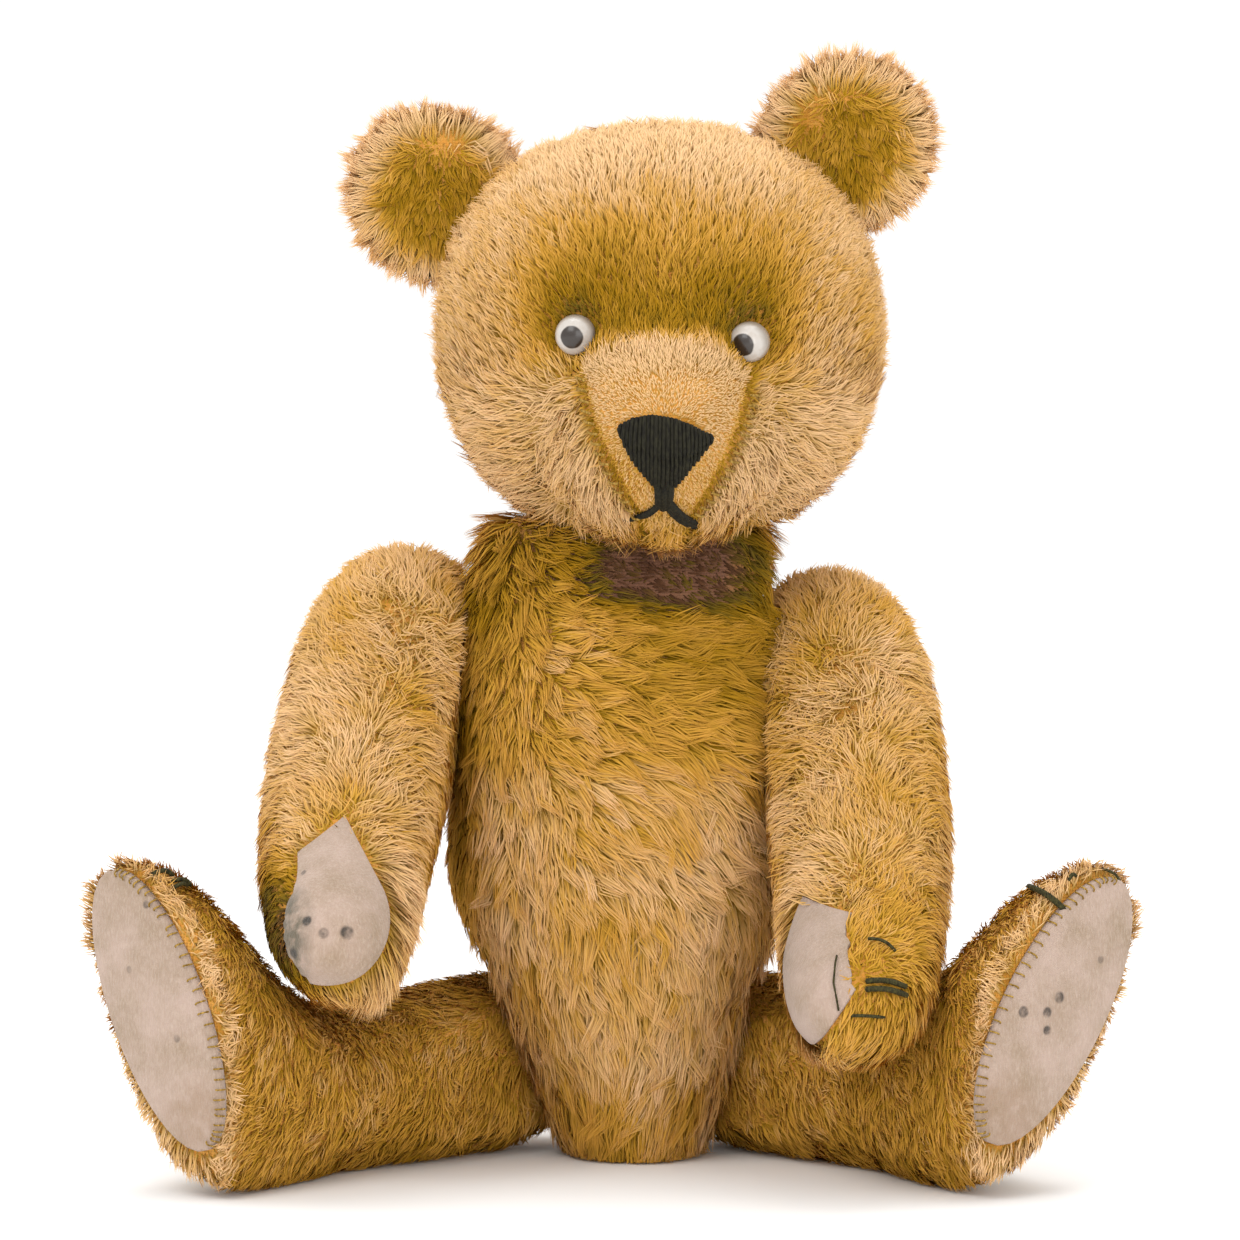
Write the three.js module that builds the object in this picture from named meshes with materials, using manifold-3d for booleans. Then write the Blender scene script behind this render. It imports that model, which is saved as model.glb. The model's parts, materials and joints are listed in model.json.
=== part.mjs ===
// A five-way disc-jointed mohair teddy bear, sitting.
// Millimetres, +Z up. The bear faces -Y, so "left" in a name is the side towards -X.
// The origin is the middle of the footprint, on the surface the bear sits on.
import * as THREE from 'three';
import { mergeVertices } from 'three/addons/utils/BufferGeometryUtils.js';
import Module from 'manifold-3d';

const wasm = await Module();
wasm.setup();

// Driving dimensions. CENTRE_SHIFT brings the middle of the footprint to the origin.
const CENTRE_SHIFT = [0.42, 26.19, 0];
const SEAT_TO_NECK = 160;
const NECK_CENTRE = [6, 3];
const NECK_CUP = 37.5;
const HEAD_CENTRE = [11.5, -3, 205];
const HEAD_HALF = [53, 50, 50.5];
const HEAD_SQUARE = 2.25;
const MUZZLE_LENGTH = 33;
const MUZZLE_HALF = [29, 30];
const MUZZLE_DROP = 23;
const CHIN_DROP = 14;
const EYE_RADIUS = 5;
const FELT = 2;
const GAP = 0.3;
const PIN_WIRE = 0.8;
const PIN_HOLE = 2.2;
const LIMB_WALL = 2.6;
const BOARD = 2.5;
const WASHER = 1;
const WASHER_RADIUS = 4.6;
const PIN_POCKET = [5.5, 11.6];

const MATERIALS = {
  plush: { color: 0xc9974f, roughness: 0.95, metalness: 0 },
  felt: { color: 0xd9bda5, roughness: 0.95, metalness: 0 },
  thread: { color: 0x2e2a20, roughness: 0.7, metalness: 0 },
  glass: { color: 0xd8d0cc, roughness: 0.08, metalness: 0 },
  board: { color: 0x6b4a30, roughness: 0.85, metalness: 0 },
  steel: { color: 0x8c8c8a, roughness: 0.4, metalness: 1 },
};

const bear = new THREE.Group();
bear.position.set(...CENTRE_SHIFT);

function addNode(name, geometry, finish) {
  geometry.computeVertexNormals();
  const mesh = new THREE.Mesh(geometry, new THREE.MeshStandardMaterial(MATERIALS[finish]));
  mesh.name = name;
  bear.add(mesh);
}

// Closed three.js geometry to a manifold solid and back

function bare(geometry) {
  const copy = geometry.clone();
  copy.deleteAttribute('normal');
  copy.deleteAttribute('uv');
  return mergeVertices(copy, 1e-4);
}

function signedVolume(positions, index) {
  const [a, b, c] = [new THREE.Vector3(), new THREE.Vector3(), new THREE.Vector3()];
  let sum = 0;
  for (let i = 0; i < index.length; i += 3) {
    a.fromArray(positions, 3 * index[i]);
    b.fromArray(positions, 3 * index[i + 1]);
    c.fromArray(positions, 3 * index[i + 2]);
    sum += a.dot(b.cross(c));
  }
  return sum / 6;
}

function toSolid(geometry) {
  const closed = bare(geometry);
  const positions = new Float32Array(closed.attributes.position.array);
  const index = new Uint32Array(closed.index.array);
  if (signedVolume(positions, index) < 0) {
    index.reverse();
  }
  return new wasm.Manifold(new wasm.Mesh({ numProp: 3, vertProperties: positions, triVerts: index }));
}

function toGeometry(solid) {
  const mesh = solid.getMesh();
  const geometry = new THREE.BufferGeometry();
  geometry.setAttribute('position', new THREE.BufferAttribute(new Float32Array(mesh.vertProperties), 3));
  geometry.setIndex(new THREE.BufferAttribute(new Uint32Array(mesh.triVerts), 1));
  return geometry;
}

// A frame has an origin and three unit directions: out of the body, up or forward, and along the limb.

function frameAt(origin, out, up, along) {
  return new THREE.Matrix4().makeBasis(out, up, along).setPosition(origin);
}

function moved(geometry, frame) {
  return bare(geometry).applyMatrix4(frame);
}

// Soft bodies: a unit ball carried onto sections along a spine. Each station is
// [out, up, along, half width, half depth], and the sections close in a round end.

function stationCurves(stations) {
  const pick = (i, j, k) => new THREE.CatmullRomCurve3(
    stations.map((s) => new THREE.Vector3(s[i], s[j], s[k] ?? 0)), false, 'catmullrom', 0.5);
  return { spine: pick(0, 1, 2), size: pick(3, 4, 5) };
}

function softBody(stations, shape = {}) {
  const { around = 20, rows = 14, blunt = 4, square = 2, grow = 0, finish = (p) => p } = shape;
  const { spine, size } = stationCurves(stations);
  const ball = bare(new THREE.SphereGeometry(1, around, rows));
  const place = ball.attributes.position;
  const v = new THREE.Vector3();
  for (let i = 0; i < place.count; i += 1) {
    v.fromBufferAttribute(place, i);
    const t = (1 - v.y) / 2;
    const centre = spine.getPoint(t);
    const half = size.getPoint(t);
    const closing = Math.max(1 - Math.abs(v.y) ** blunt, 0) ** (1 / blunt);
    const angle = Math.atan2(v.z, v.x);
    const [c, s] = [Math.cos(angle), Math.sin(angle)];
    const corner = (Math.abs(c) ** square + Math.abs(s) ** square) ** (-1 / square);
    const point = new THREE.Vector3(
      centre.x + (half.x + grow) * closing * corner * c,
      centre.y + (half.y + grow) * closing * corner * s,
      centre.z - Math.sign(v.y) * grow * Math.abs(v.y) ** blunt);
    finish(point, t, c, s);
    place.setXYZ(i, point.x, point.y, point.z);
  }
  return ball;
}

function box(low, high) {
  const size = high.map((v, i) => v - low[i]);
  const middle = high.map((v, i) => (v + low[i]) / 2);
  return new THREE.BoxGeometry(...size).translate(...middle);
}

// Disc joints. Each turns about the pin, which points out of the torso.

const unit = (x, y, z) => new THREE.Vector3(x, y, z).normalize();

const JOINTS = {
  neck: { pivot: [NECK_CENTRE[0], NECK_CENTRE[1], SEAT_TO_NECK], axis: unit(0, 0, 1), disc: 20 },
  shoulder_left: { pivot: [-36, 0, 130], axis: unit(-0.993, 0.087, 0.082), disc: 13 },
  shoulder_right: { pivot: [37, 0, 124.5], axis: unit(0.999, 0.019, 0.026), disc: 13 },
  hip_left: { pivot: [-14, 5.5, 25], axis: unit(-0.766, 0.643, 0), disc: 12 },
  hip_right: { pivot: [16.2, 10.7, 25], axis: unit(0.809, 0.588, 0), disc: 12 },
};

function pinFrame(joint) {
  const turn = new THREE.Quaternion().setFromUnitVectors(new THREE.Vector3(0, 0, 1), joint.axis);
  const place = new THREE.Vector3(...joint.pivot);
  return new THREE.Matrix4().compose(place, turn, new THREE.Vector3(1, 1, 1));
}

function lathe(profile, segments) {
  const points = profile.map(([r, z]) => new THREE.Vector2(r, z));
  const geometry = new THREE.LatheGeometry(points, segments);
  return geometry.rotateX(Math.PI / 2);
}

function ringPlate(inner, outer, low, high, segments) {
  return lathe([[inner, low], [outer, low], [outer, high], [inner, high], [inner, low]], segments);
}

// The hollow round one side's disc, washer and pin end, open through the pin's hole
function pocketSolid(joint, side) {
  const rim = joint.disc + 0.5;
  const boardEnd = LIMB_WALL + BOARD + 0.55;
  const [narrow, deep] = PIN_POCKET;
  const profile = [
    [0, -2], [PIN_HOLE + 0.3, -2], [PIN_HOLE + 0.3, LIMB_WALL - 0.1], [rim, LIMB_WALL - 0.1],
    [rim, boardEnd], [narrow, boardEnd], [narrow, deep], [0, deep],
  ];
  const geometry = lathe(profile, 16);
  if (side < 0) {
    geometry.rotateX(Math.PI);
  }
  return toSolid(moved(geometry, pinFrame(joint)));
}

// A cotter pin: an eye on the limb side, two legs through the plates, curled over inside the torso
function cotterPin() {
  const legSpace = PIN_WIRE + 0.15;
  const washerTop = LIMB_WALL + BOARD + WASHER + 1;
  const eye = 2.4;
  const leg = (side) => [
    [side * 4.1, -washerTop - 0.9], [side * 4.0, -washerTop - 2.2], [side * 2.9, -washerTop - 2.9],
    [side * 1.5, -washerTop - 2], [side * legSpace, -washerTop - 0.4], [side * legSpace, 0],
    [side * legSpace, washerTop - 0.6], [side * eye, washerTop + 1.6],
  ];
  const top = [[0, washerTop + 3.6]];
  const path = [...leg(-1), ...top, ...leg(1).reverse()].map(([x, z]) => new THREE.Vector3(x, 0, z));
  const curve = new THREE.CatmullRomCurve3(path, false, 'centripetal');
  const wire = new THREE.Shape().absarc(0, 0, PIN_WIRE, 0, 2 * Math.PI, false);
  return new THREE.ExtrudeGeometry(wire, { steps: 34, curveSegments: 3, extrudePath: curve });
}

function addHardware(name, joint) {
  const frame = pinFrame(joint);
  const boardLow = LIMB_WALL + GAP;
  const boardHigh = boardLow + BOARD;
  const washerLow = boardHigh + GAP;
  const sides = { body: -1, limb: 1 };
  for (const [where, side] of Object.entries(sides)) {
    const board = ringPlate(PIN_HOLE, joint.disc, boardLow, boardHigh, 16);
    const washer = ringPlate(PIN_HOLE, WASHER_RADIUS, washerLow, washerLow + WASHER, 10);
    if (side < 0) {
      board.rotateX(Math.PI);
      washer.rotateX(Math.PI);
    }
    addNode(`${name}_disc_${where}`, toGeometry(toSolid(moved(board, frame))), 'board');
    addNode(`${name}_washer_${where}`, toGeometry(toSolid(moved(washer, frame))), 'steel');
  }
  addNode(`${name}_cotter_pin`, toGeometry(toSolid(moved(cotterPin(), frame))), 'steel');
}

// Torso: stations are [x, y, z, half width, half depth]

const TORSO = [
  [5, 2, -6, 18, 25],
  [5, 3, 20, 26, 34],
  [4, 1, 46, 36, 41],
  [3, -2, 72, 44, 43],
  [3, -1, 98, 45, 40],
  [2, 0, 124, 42, 36],
  [3, 1, 150, 38.5, 30],
  [6, 3, 176, 25, 25],
];

// The flank that a limb lies against is flat, and cut back over the limb's swing
function flankCut(joint, reach) {
  const up = new THREE.Vector3(0, 0, 1);
  const along = new THREE.Vector3().crossVectors(joint.axis, up).normalize();
  const forward = along.y < 0 ? along : along.negate();
  const level = new THREE.Vector3().crossVectors(forward, joint.axis).normalize();
  const frame = frameAt(new THREE.Vector3(...joint.pivot), joint.axis, level, forward);
  const block = box([-GAP, reach.down, reach.back], [60, reach.up, reach.front]);
  return toSolid(moved(block, frame));
}

function makeTorso() {
  const room = toSolid(box([-80, -80, 0], [80, 80, SEAT_TO_NECK - GAP]));
  let solid = toSolid(softBody(TORSO, { around: 24, rows: 16, blunt: 5 })).intersect(room);
  const armReach = { down: -120, up: 60, back: -60, front: 60 };
  const legReach = { down: -40, up: 27, back: -32, front: 80 };
  for (const side of ['left', 'right']) {
    solid = solid.subtract(flankCut(JOINTS[`shoulder_${side}`], armReach));
    solid = solid.subtract(flankCut(JOINTS[`hip_${side}`], legReach));
  }
  for (const joint of Object.values(JOINTS)) {
    solid = solid.subtract(pocketSolid(joint, -1));
  }
  addNode('torso', toGeometry(solid), 'plush');
}

// Arms: stations are [out, forward, along, half width, half depth] from the pivot

const ARMS = {
  left: { along: unit(-0.12, -0.71, -0.69), pad: unit(0.05, -1, 0), stretch: 1 },
  right: { along: unit(0.032, -0.705, -0.709), pad: unit(-0.8, -0.6, 0), stretch: 1.07 },
};

const ARM = [
  [17, 0, -20, 20, 17],
  [17, 0, 4, 24, 22],
  [19, -3, 30, 24, 22],
  [20, -4, 56, 23, 21],
  [20, -2, 82, 20, 19.5],
  [18.5, 3, 106, 17.5, 17.5],
  [17, 7, 120, 13, 12.5],
];

function armFrame(side) {
  const joint = JOINTS[`shoulder_${side}`];
  const along = ARMS[side].along;
  const across = new THREE.Vector3().crossVectors(along, joint.axis).normalize();
  const forward = across.y < 0 ? across : across.negate();
  return frameAt(new THREE.Vector3(...joint.pivot), joint.axis, forward, along);
}

function armSolid(side, grow) {
  const { stretch } = ARMS[side];
  const stations = ARM.map(([out, forward, along, ...half]) => [out, forward, along * stretch, ...half]);
  const frame = armFrame(side);
  const room = toSolid(moved(box([GAP, -60, -60], [80, 60, 180]), frame));
  return toSolid(moved(softBody(stations, { blunt: 4, grow }), frame)).intersect(room);
}

const PAW_CENTRE = [19.5, 4, 98];

// The felt pad's outline, a drop with its point towards the shoulder, extruded towards the palm
function padBlock(side, margin) {
  const half = 15 + margin;
  const drop = new THREE.Shape();
  drop.moveTo(0, half * 1.55);
  drop.quadraticCurveTo(half * 0.95, half * 0.75, half, 0);
  drop.absarc(0, 0, half, 0, -Math.PI, true);
  drop.quadraticCurveTo(-half * 0.95, half * 0.75, 0, half * 1.55);
  const block = new THREE.ExtrudeGeometry(drop, { depth: 45, bevelEnabled: false, curveSegments: 5 });
  const { along, pad, stretch } = ARMS[side];
  const up = along.clone().negate().addScaledVector(pad, along.dot(pad)).normalize();
  const across = new THREE.Vector3().crossVectors(up, pad).normalize();
  const [out, forward, reach] = PAW_CENTRE;
  const origin = new THREE.Vector3(out, forward, reach * stretch).applyMatrix4(armFrame(side));
  return toSolid(moved(block, frameAt(origin, across, up, pad)));
}

function makeArm(side) {
  const whole = armSolid(side, 0);
  const pad = whole.intersect(padBlock(side, 0)).subtract(armSolid(side, -FELT));
  const recess = padBlock(side, GAP).subtract(armSolid(side, -FELT - GAP));
  const arm = whole.subtract(recess).subtract(pocketSolid(JOINTS[`shoulder_${side}`], 1));
  addNode(`arm_${side}`, toGeometry(arm), 'plush');
  addNode(`paw_pad_${side}`, toGeometry(pad), 'felt');
}

// Legs: stations are [out, up, along, half width, half height] from the pivot

const LEGS = {
  left: { lean: 27 },
  right: { lean: 34 },
};

const LEG = [
  [15.5, -2, -22, 17, 18],
  [15.5, -2.5, 4, 21.5, 22],
  [17, -3.5, 32, 21.5, 21.5],
  [19.5, -4.5, 60, 20, 20.5],
  [20.5, -1, 88, 20, 25],
  [21, 11, 114, 19.5, 37],
  [21, 17, 142, 19, 42],
];
const SOLE_AT = 125;
const SOLE_HALF = [15, 36.5];
const SOLE_CENTRE = [21, 20];
const LEAN_FROM = 70;

function legFrame(side) {
  const joint = JOINTS[`hip_${side}`];
  const up = new THREE.Vector3(0, 0, 1);
  const across = new THREE.Vector3().crossVectors(joint.axis, up);
  const along = across.y < 0 ? across : across.negate();
  return frameAt(new THREE.Vector3(...joint.pivot), joint.axis, up, along);
}

// The foot leans outwards, more and more from the ankle to the sole
function leanOut(point, side, distance) {
  const share = Math.min(Math.max((distance - LEAN_FROM) / (SOLE_AT - LEAN_FROM), 0), 1);
  const angle = THREE.MathUtils.degToRad(LEGS[side].lean) * share;
  const [x, y] = [point.x - SOLE_CENTRE[0], point.y - SOLE_CENTRE[1]];
  point.x = SOLE_CENTRE[0] + x * Math.cos(angle) + y * Math.sin(angle);
  point.y = SOLE_CENTRE[1] - x * Math.sin(angle) + y * Math.cos(angle);
}

function legSolid(side) {
  const floor = -JOINTS[`hip_${side}`].pivot[2];
  const frame = legFrame(side);
  const room = toSolid(moved(box([GAP, floor, -60], [90, 120, SOLE_AT - FELT - GAP]), frame));
  const lean = (p) => leanOut(p, side, p.z);
  return toSolid(moved(softBody(LEG, { blunt: 5, rows: 18, finish: lean }), frame)).intersect(room);
}

function soleGeometry(side) {
  const outline = new THREE.Shape();
  outline.absellipse(0, 0, SOLE_HALF[0], SOLE_HALF[1], 0, 2 * Math.PI, false, 0);
  const felt = new THREE.ExtrudeGeometry(outline, { depth: FELT, bevelEnabled: false, curveSegments: 14 });
  felt.rotateZ(-THREE.MathUtils.degToRad(LEGS[side].lean));
  felt.translate(SOLE_CENTRE[0], SOLE_CENTRE[1], SOLE_AT - FELT);
  return toGeometry(toSolid(moved(felt, legFrame(side))));
}

function makeLeg(side) {
  const leg = legSolid(side).subtract(pocketSolid(JOINTS[`hip_${side}`], 1));
  addNode(`leg_${side}`, toGeometry(leg), 'plush');
  addNode(`sole_${side}`, soleGeometry(side), 'felt');
}

// Head: a squarish ball with the muzzle drawn out of its front

function headSolid(grow) {
  const ball = bare(new THREE.SphereGeometry(1, 30, 20));
  ball.rotateX(Math.PI / 2);
  const place = ball.attributes.position;
  const v = new THREE.Vector3();
  const [halfX, halfY, halfZ] = HEAD_HALF;
  for (let i = 0; i < place.count; i += 1) {
    v.fromBufferAttribute(place, i);
    const powers = [v.x, v.y, v.z].map((c) => Math.abs(c) ** HEAD_SQUARE);
    const size = (powers[0] + powers[1] + powers[2]) ** (-1 / HEAD_SQUARE);
    const point = new THREE.Vector3(
      v.x * size * (halfX + grow), v.y * size * (halfY + grow), v.z * size * (halfZ + grow));
    const [mx, mz] = [MUZZLE_HALF[0] + grow, MUZZLE_HALF[1] + grow];
    const across = Math.hypot(point.x / mx, (point.z + MUZZLE_DROP) / mz);
    if (point.y < 0 && across < 1) {
      const share = (1 - across ** 2.2) ** 1.25;
      const below = Math.max(-(point.z + MUZZLE_DROP) / mz, 0);
      point.y -= MUZZLE_LENGTH * share;
      point.z -= CHIN_DROP * share * below;
    }
    place.setXYZ(i, point.x + HEAD_CENTRE[0], point.y + HEAD_CENTRE[1], point.z + HEAD_CENTRE[2]);
  }
  return toSolid(ball);
}

// The underside is hollowed over the neck, so that the chin hangs in front of it
function neckCut() {
  const low = SEAT_TO_NECK + GAP;
  const cup = new THREE.CylinderGeometry(NECK_CUP, NECK_CUP, 60, 28).rotateX(Math.PI / 2);
  cup.translate(NECK_CENTRE[0], NECK_CENTRE[1], low - 30);
  return toSolid(cup);
}

// How far in front of the head's centre its skin lies, beside the muzzle
function faceDepth(x, z) {
  const [halfX, halfY, halfZ] = HEAD_HALF;
  const rest = 1 - Math.abs(x / halfX) ** HEAD_SQUARE - Math.abs(z / halfZ) ** HEAD_SQUARE;
  return halfY * rest ** (1 / HEAD_SQUARE);
}

function eyeCentre(x, z) {
  return [HEAD_CENTRE[0] + x, HEAD_CENTRE[1] - faceDepth(x, z) - 0.5, HEAD_CENTRE[2] + z];
}

const EYES = {
  left: eyeCentre(-20.8, 2),
  right: eyeCentre(21.5, 0.3),
};

function eyeSocket(centre) {
  const ball = new THREE.SphereGeometry(EYE_RADIUS + GAP, 16, 12).translate(...centre);
  const bore = new THREE.CylinderGeometry(2.6, 2.6, 18, 10).translate(centre[0], centre[1] + 9, centre[2]);
  return toSolid(ball).add(toSolid(bore));
}

function makeEye(side) {
  const centre = EYES[side];
  const ball = new THREE.SphereGeometry(EYE_RADIUS, 16, 12).translate(...centre);
  addNode(`eye_${side}`, toGeometry(toSolid(ball)), 'glass');
  const hairpin = new THREE.CatmullRomCurve3([
    [-0.9, 5.6], [-1, 9], [-1.3, 13.5], [0, 15.8], [1.3, 13.5], [1, 9], [0.9, 5.6],
  ].map(([x, y]) => new THREE.Vector3(x, y, 0)), false, 'centripetal');
  const wire = new THREE.Shape().absarc(0, 0, 0.45, 0, 2 * Math.PI, false);
  const shank = new THREE.ExtrudeGeometry(wire, { steps: 16, curveSegments: 3, extrudePath: hairpin });
  shank.translate(...centre);
  addNode(`eye_shank_${side}`, toGeometry(toSolid(shank)), 'steel');
}

// A block seen from the front, from the middle of the muzzle outwards
function frontBlock(shape) {
  const block = new THREE.ExtrudeGeometry(shape, { depth: 60, bevelEnabled: false, curveSegments: 6 });
  block.rotateX(Math.PI / 2);
  block.translate(HEAD_CENTRE[0], -50, HEAD_CENTRE[2]);
  return toSolid(block);
}

function noseOutline() {
  const shape = new THREE.Shape();
  shape.moveTo(-9.8, -19.2);
  shape.quadraticCurveTo(-8.6, -16.8, -2.4, -16.5);
  shape.quadraticCurveTo(8, -17.4, 11.4, -21.6);
  shape.quadraticCurveTo(9, -27, 4.6, -31);
  shape.quadraticCurveTo(2, -34, 0.6, -34);
  shape.quadraticCurveTo(-2.4, -33, -4.8, -29);
  shape.quadraticCurveTo(-9, -23.6, -9.8, -19.2);
  return shape;
}

function stitchOutline(from, to, width) {
  const along = new THREE.Vector2(...to).sub(new THREE.Vector2(...from)).normalize();
  const [dx, dz] = [-along.y * width / 2, along.x * width / 2];
  const shape = new THREE.Shape();
  shape.moveTo(from[0] + dx, from[1] + dz);
  shape.lineTo(to[0] + dx, to[1] + dz);
  shape.lineTo(to[0] - dx, to[1] - dz);
  shape.lineTo(from[0] - dx, from[1] - dz);
  return shape;
}

function makeFace() {
  const skin = headSolid(GAP);
  const raised = headSolid(GAP + 1.6);
  const stitched = {
    nose_stitching: noseOutline(),
    mouth_stem: stitchOutline([0.6, -34.4], [0.6, -37.9], 2.4),
    mouth_stitch_left: stitchOutline([-0.8, -38.4], [-8.4, -41.9], 1.5),
    mouth_stitch_right: stitchOutline([1.9, -38.4], [7.7, -43.6], 2.2),
  };
  for (const [name, outline] of Object.entries(stitched)) {
    addNode(name, toGeometry(frontBlock(outline).intersect(raised).subtract(skin)), 'thread');
  }
}

// Ears: bowls of doubled plush, open towards the front
const EARS = {
  left: { centre: [-44, 2, 240], tilt: 50 },
  right: { centre: [57.5, 2, 252.5], tilt: -42 },
};
const EAR_HALF = [19, 6, 20.5];
const EAR_BOWL = 6;

function earSolid(side) {
  const ball = bare(new THREE.SphereGeometry(1, 18, 12));
  const place = ball.attributes.position;
  const v = new THREE.Vector3();
  for (let i = 0; i < place.count; i += 1) {
    v.fromBufferAttribute(place, i);
    const open = 1 - v.x * v.x - v.z * v.z;
    place.setXYZ(i, EAR_HALF[0] * v.x, EAR_HALF[1] * v.y + EAR_BOWL * open, EAR_HALF[2] * v.z);
  }
  ball.rotateY(-THREE.MathUtils.degToRad(EARS[side].tilt));
  ball.translate(...EARS[side].centre);
  return toSolid(ball);
}

function makeHead() {
  let solid = headSolid(0).subtract(neckCut()).subtract(pocketSolid(JOINTS.neck, 1));
  for (const side of ['left', 'right']) {
    solid = solid.subtract(eyeSocket(EYES[side]));
    addNode(`ear_${side}`, toGeometry(earSolid(side).subtract(headSolid(GAP))), 'plush');
    makeEye(side);
  }
  addNode('head', toGeometry(solid), 'plush');
}

makeTorso();
makeHead();
makeFace();
for (const side of ['left', 'right']) {
  makeArm(side);
  makeLeg(side);
}
for (const [name, joint] of Object.entries(JOINTS)) {
  addHardware(name, joint);
}

export default bear;
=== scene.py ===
"""A threadbare, five-way jointed mohair teddy bear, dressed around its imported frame.

Lengths inside the functions are millimetres in the bear's own drawing, whose origin is the
middle of the footprint moved by SHIFT; MM turns them into metres when a mesh is made.
The bear faces -Y, so "left" in a name is the side towards -X.
"""

import json
import math

import bpy
import numpy as np
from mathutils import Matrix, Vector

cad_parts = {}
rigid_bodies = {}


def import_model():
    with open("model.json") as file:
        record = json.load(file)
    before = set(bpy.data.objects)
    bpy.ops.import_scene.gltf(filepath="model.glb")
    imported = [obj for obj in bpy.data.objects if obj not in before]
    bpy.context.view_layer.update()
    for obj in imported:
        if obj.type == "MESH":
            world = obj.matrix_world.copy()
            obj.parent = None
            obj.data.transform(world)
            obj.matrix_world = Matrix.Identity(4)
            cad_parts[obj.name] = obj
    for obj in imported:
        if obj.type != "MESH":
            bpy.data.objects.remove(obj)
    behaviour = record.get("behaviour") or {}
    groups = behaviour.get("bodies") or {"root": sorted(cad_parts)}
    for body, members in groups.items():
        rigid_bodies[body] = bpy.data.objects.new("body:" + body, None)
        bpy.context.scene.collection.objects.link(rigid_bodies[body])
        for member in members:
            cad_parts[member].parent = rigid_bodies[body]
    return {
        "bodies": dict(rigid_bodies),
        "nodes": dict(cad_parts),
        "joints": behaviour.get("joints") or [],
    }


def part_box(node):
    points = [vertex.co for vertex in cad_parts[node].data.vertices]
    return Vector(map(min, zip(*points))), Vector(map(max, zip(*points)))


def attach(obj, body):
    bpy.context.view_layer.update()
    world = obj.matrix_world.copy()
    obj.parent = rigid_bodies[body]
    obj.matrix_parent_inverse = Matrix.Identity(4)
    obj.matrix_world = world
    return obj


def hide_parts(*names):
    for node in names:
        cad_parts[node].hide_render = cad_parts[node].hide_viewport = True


bl_info = {
    "name": "Worn mohair bear",
    "version": (1, 0, 0),
    "blender": (4, 5, 0),
    "location": "View3D > Sidebar > Bear",
    "description": "Skins, pile, felt, stitching and glass eyes for a sitting jointed bear",
    "category": "Add Mesh",
}

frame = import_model()

MM = 0.001
SIDES = ("left", "right")
JOINTS = {joint["name"]: joint for joint in frame["joints"]}
NECK = np.array([6.0, 3.0, 160.0])
SHIFT = np.array(JOINTS["neck"]["pos_m"]) / MM - NECK

# What the camera looks at, across and up, in metres: the middle of the bear
AIM = (0.00192, 0.134)

GAP = 0.3
FELT = 2.0

# Sections along each soft body: [x, y, z, half width, half depth] for the torso, and
# [out, forward or up, along, half width, half depth] from the joint for a limb
TORSO = [
    [5, 2, -6, 18, 25],
    [5, 3, 20, 26, 34],
    [4, 1, 46, 36, 41],
    [3, -2, 72, 44, 43],
    [3, -1, 98, 45, 40],
    [2, 0, 124, 42, 36],
    [3, 1, 150, 38.5, 30],
    [6, 3, 176, 25, 25],
]
ARM = [
    [17, 0, -20, 20, 17],
    [17, 0, 4, 24, 22],
    [19, -3, 30, 24, 22],
    [20, -4, 56, 23, 21],
    [20, -2, 82, 20, 19.5],
    [18.5, 3, 106, 17.5, 17.5],
    [17, 7, 120, 13, 12.5],
]
LEG = [
    [15.5, -2, -22, 17, 18],
    [15.5, -2.5, 4, 21.5, 22],
    [17, -3.5, 32, 21.5, 21.5],
    [19.5, -4.5, 60, 20, 20.5],
    [20.5, -1, 88, 20, 25],
    [21, 11, 114, 19.5, 37],
    [21, 17, 142, 19, 42],
]
ARM_ALONG = {"left": (-0.12, -0.71, -0.69), "right": (0.032, -0.705, -0.709)}
ARM_PALM = {"left": (0.05, -1, 0), "right": (-0.8, -0.6, 0)}
ARM_STRETCH = {"left": 1.0, "right": 1.07}
ARM_LENGTH = 125.0
PAW_CENTRE = (19.5, 4, 98)
PAD_HALF = 15.0
PAD_POINT = 1.55
PAD_STEPS = 72
PAD_TRIES = 30
PAD_TURN = math.radians(64)
PAD_SHIFT = {"left": (-3.0, 0.5), "right": (0.0, 0.0)}
LEG_LEAN = {"left": 27.0, "right": 34.0}
LEAN_FROM = 70.0
TOE_PADDING = 9.0
SOLE_AT = 125.0
SOLE_CENTRE = (21.0, 20.0)
SOLE_HALF = (15.0, 36.5)
HEAD_CENTRE = np.array([11.5, -3.0, 205.0])
HEAD_HALF = np.array([53.0, 50.0, 50.5])
HEAD_SQUARE = 2.25
MUZZLE_LENGTH = 33.0
MUZZLE_HALF = (29.0, 30.0)
MUZZLE_DROP = 23.0
CHIN_DROP = 14.0
NECK_CUP = 37.5
EAR_CENTRE = {"left": (-44, 2, 240), "right": (57.5, 2, 252.5)}
EAR_TILT = {"left": 50.0, "right": -42.0}
EAR_HALF = (19.0, 6.0, 20.5)
EAR_BOWL = 6.0
SOCKET_DEPTH = 2.0
SOCKET_REACH = 7.5

# A limb's flat end leaves the torso free outside this radius, where a bevel of this slope starts
LIMB_END = 25.0
BEVEL = 1.5

# How firmly the skins are stuffed: the pressure on the cloth
STUFFING = 4.0

# Each pile's most triangles, hairs to a lock, and seed
PILES = {
    "torso": (182000, 16, 1),
    "head": (178000, 6, 2),
    "ear_left": (28000, 10, 3),
    "ear_right": (28000, 10, 4),
    "arm_left": (84000, 14, 5),
    "arm_right": (84000, 14, 6),
    "leg_left": (84000, 14, 7),
    "leg_right": (84000, 14, 8),
}
HAIRS_TO_SQUARE = 4.0
HEAD_HAIRS_TO_SQUARE = 6.0


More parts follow.
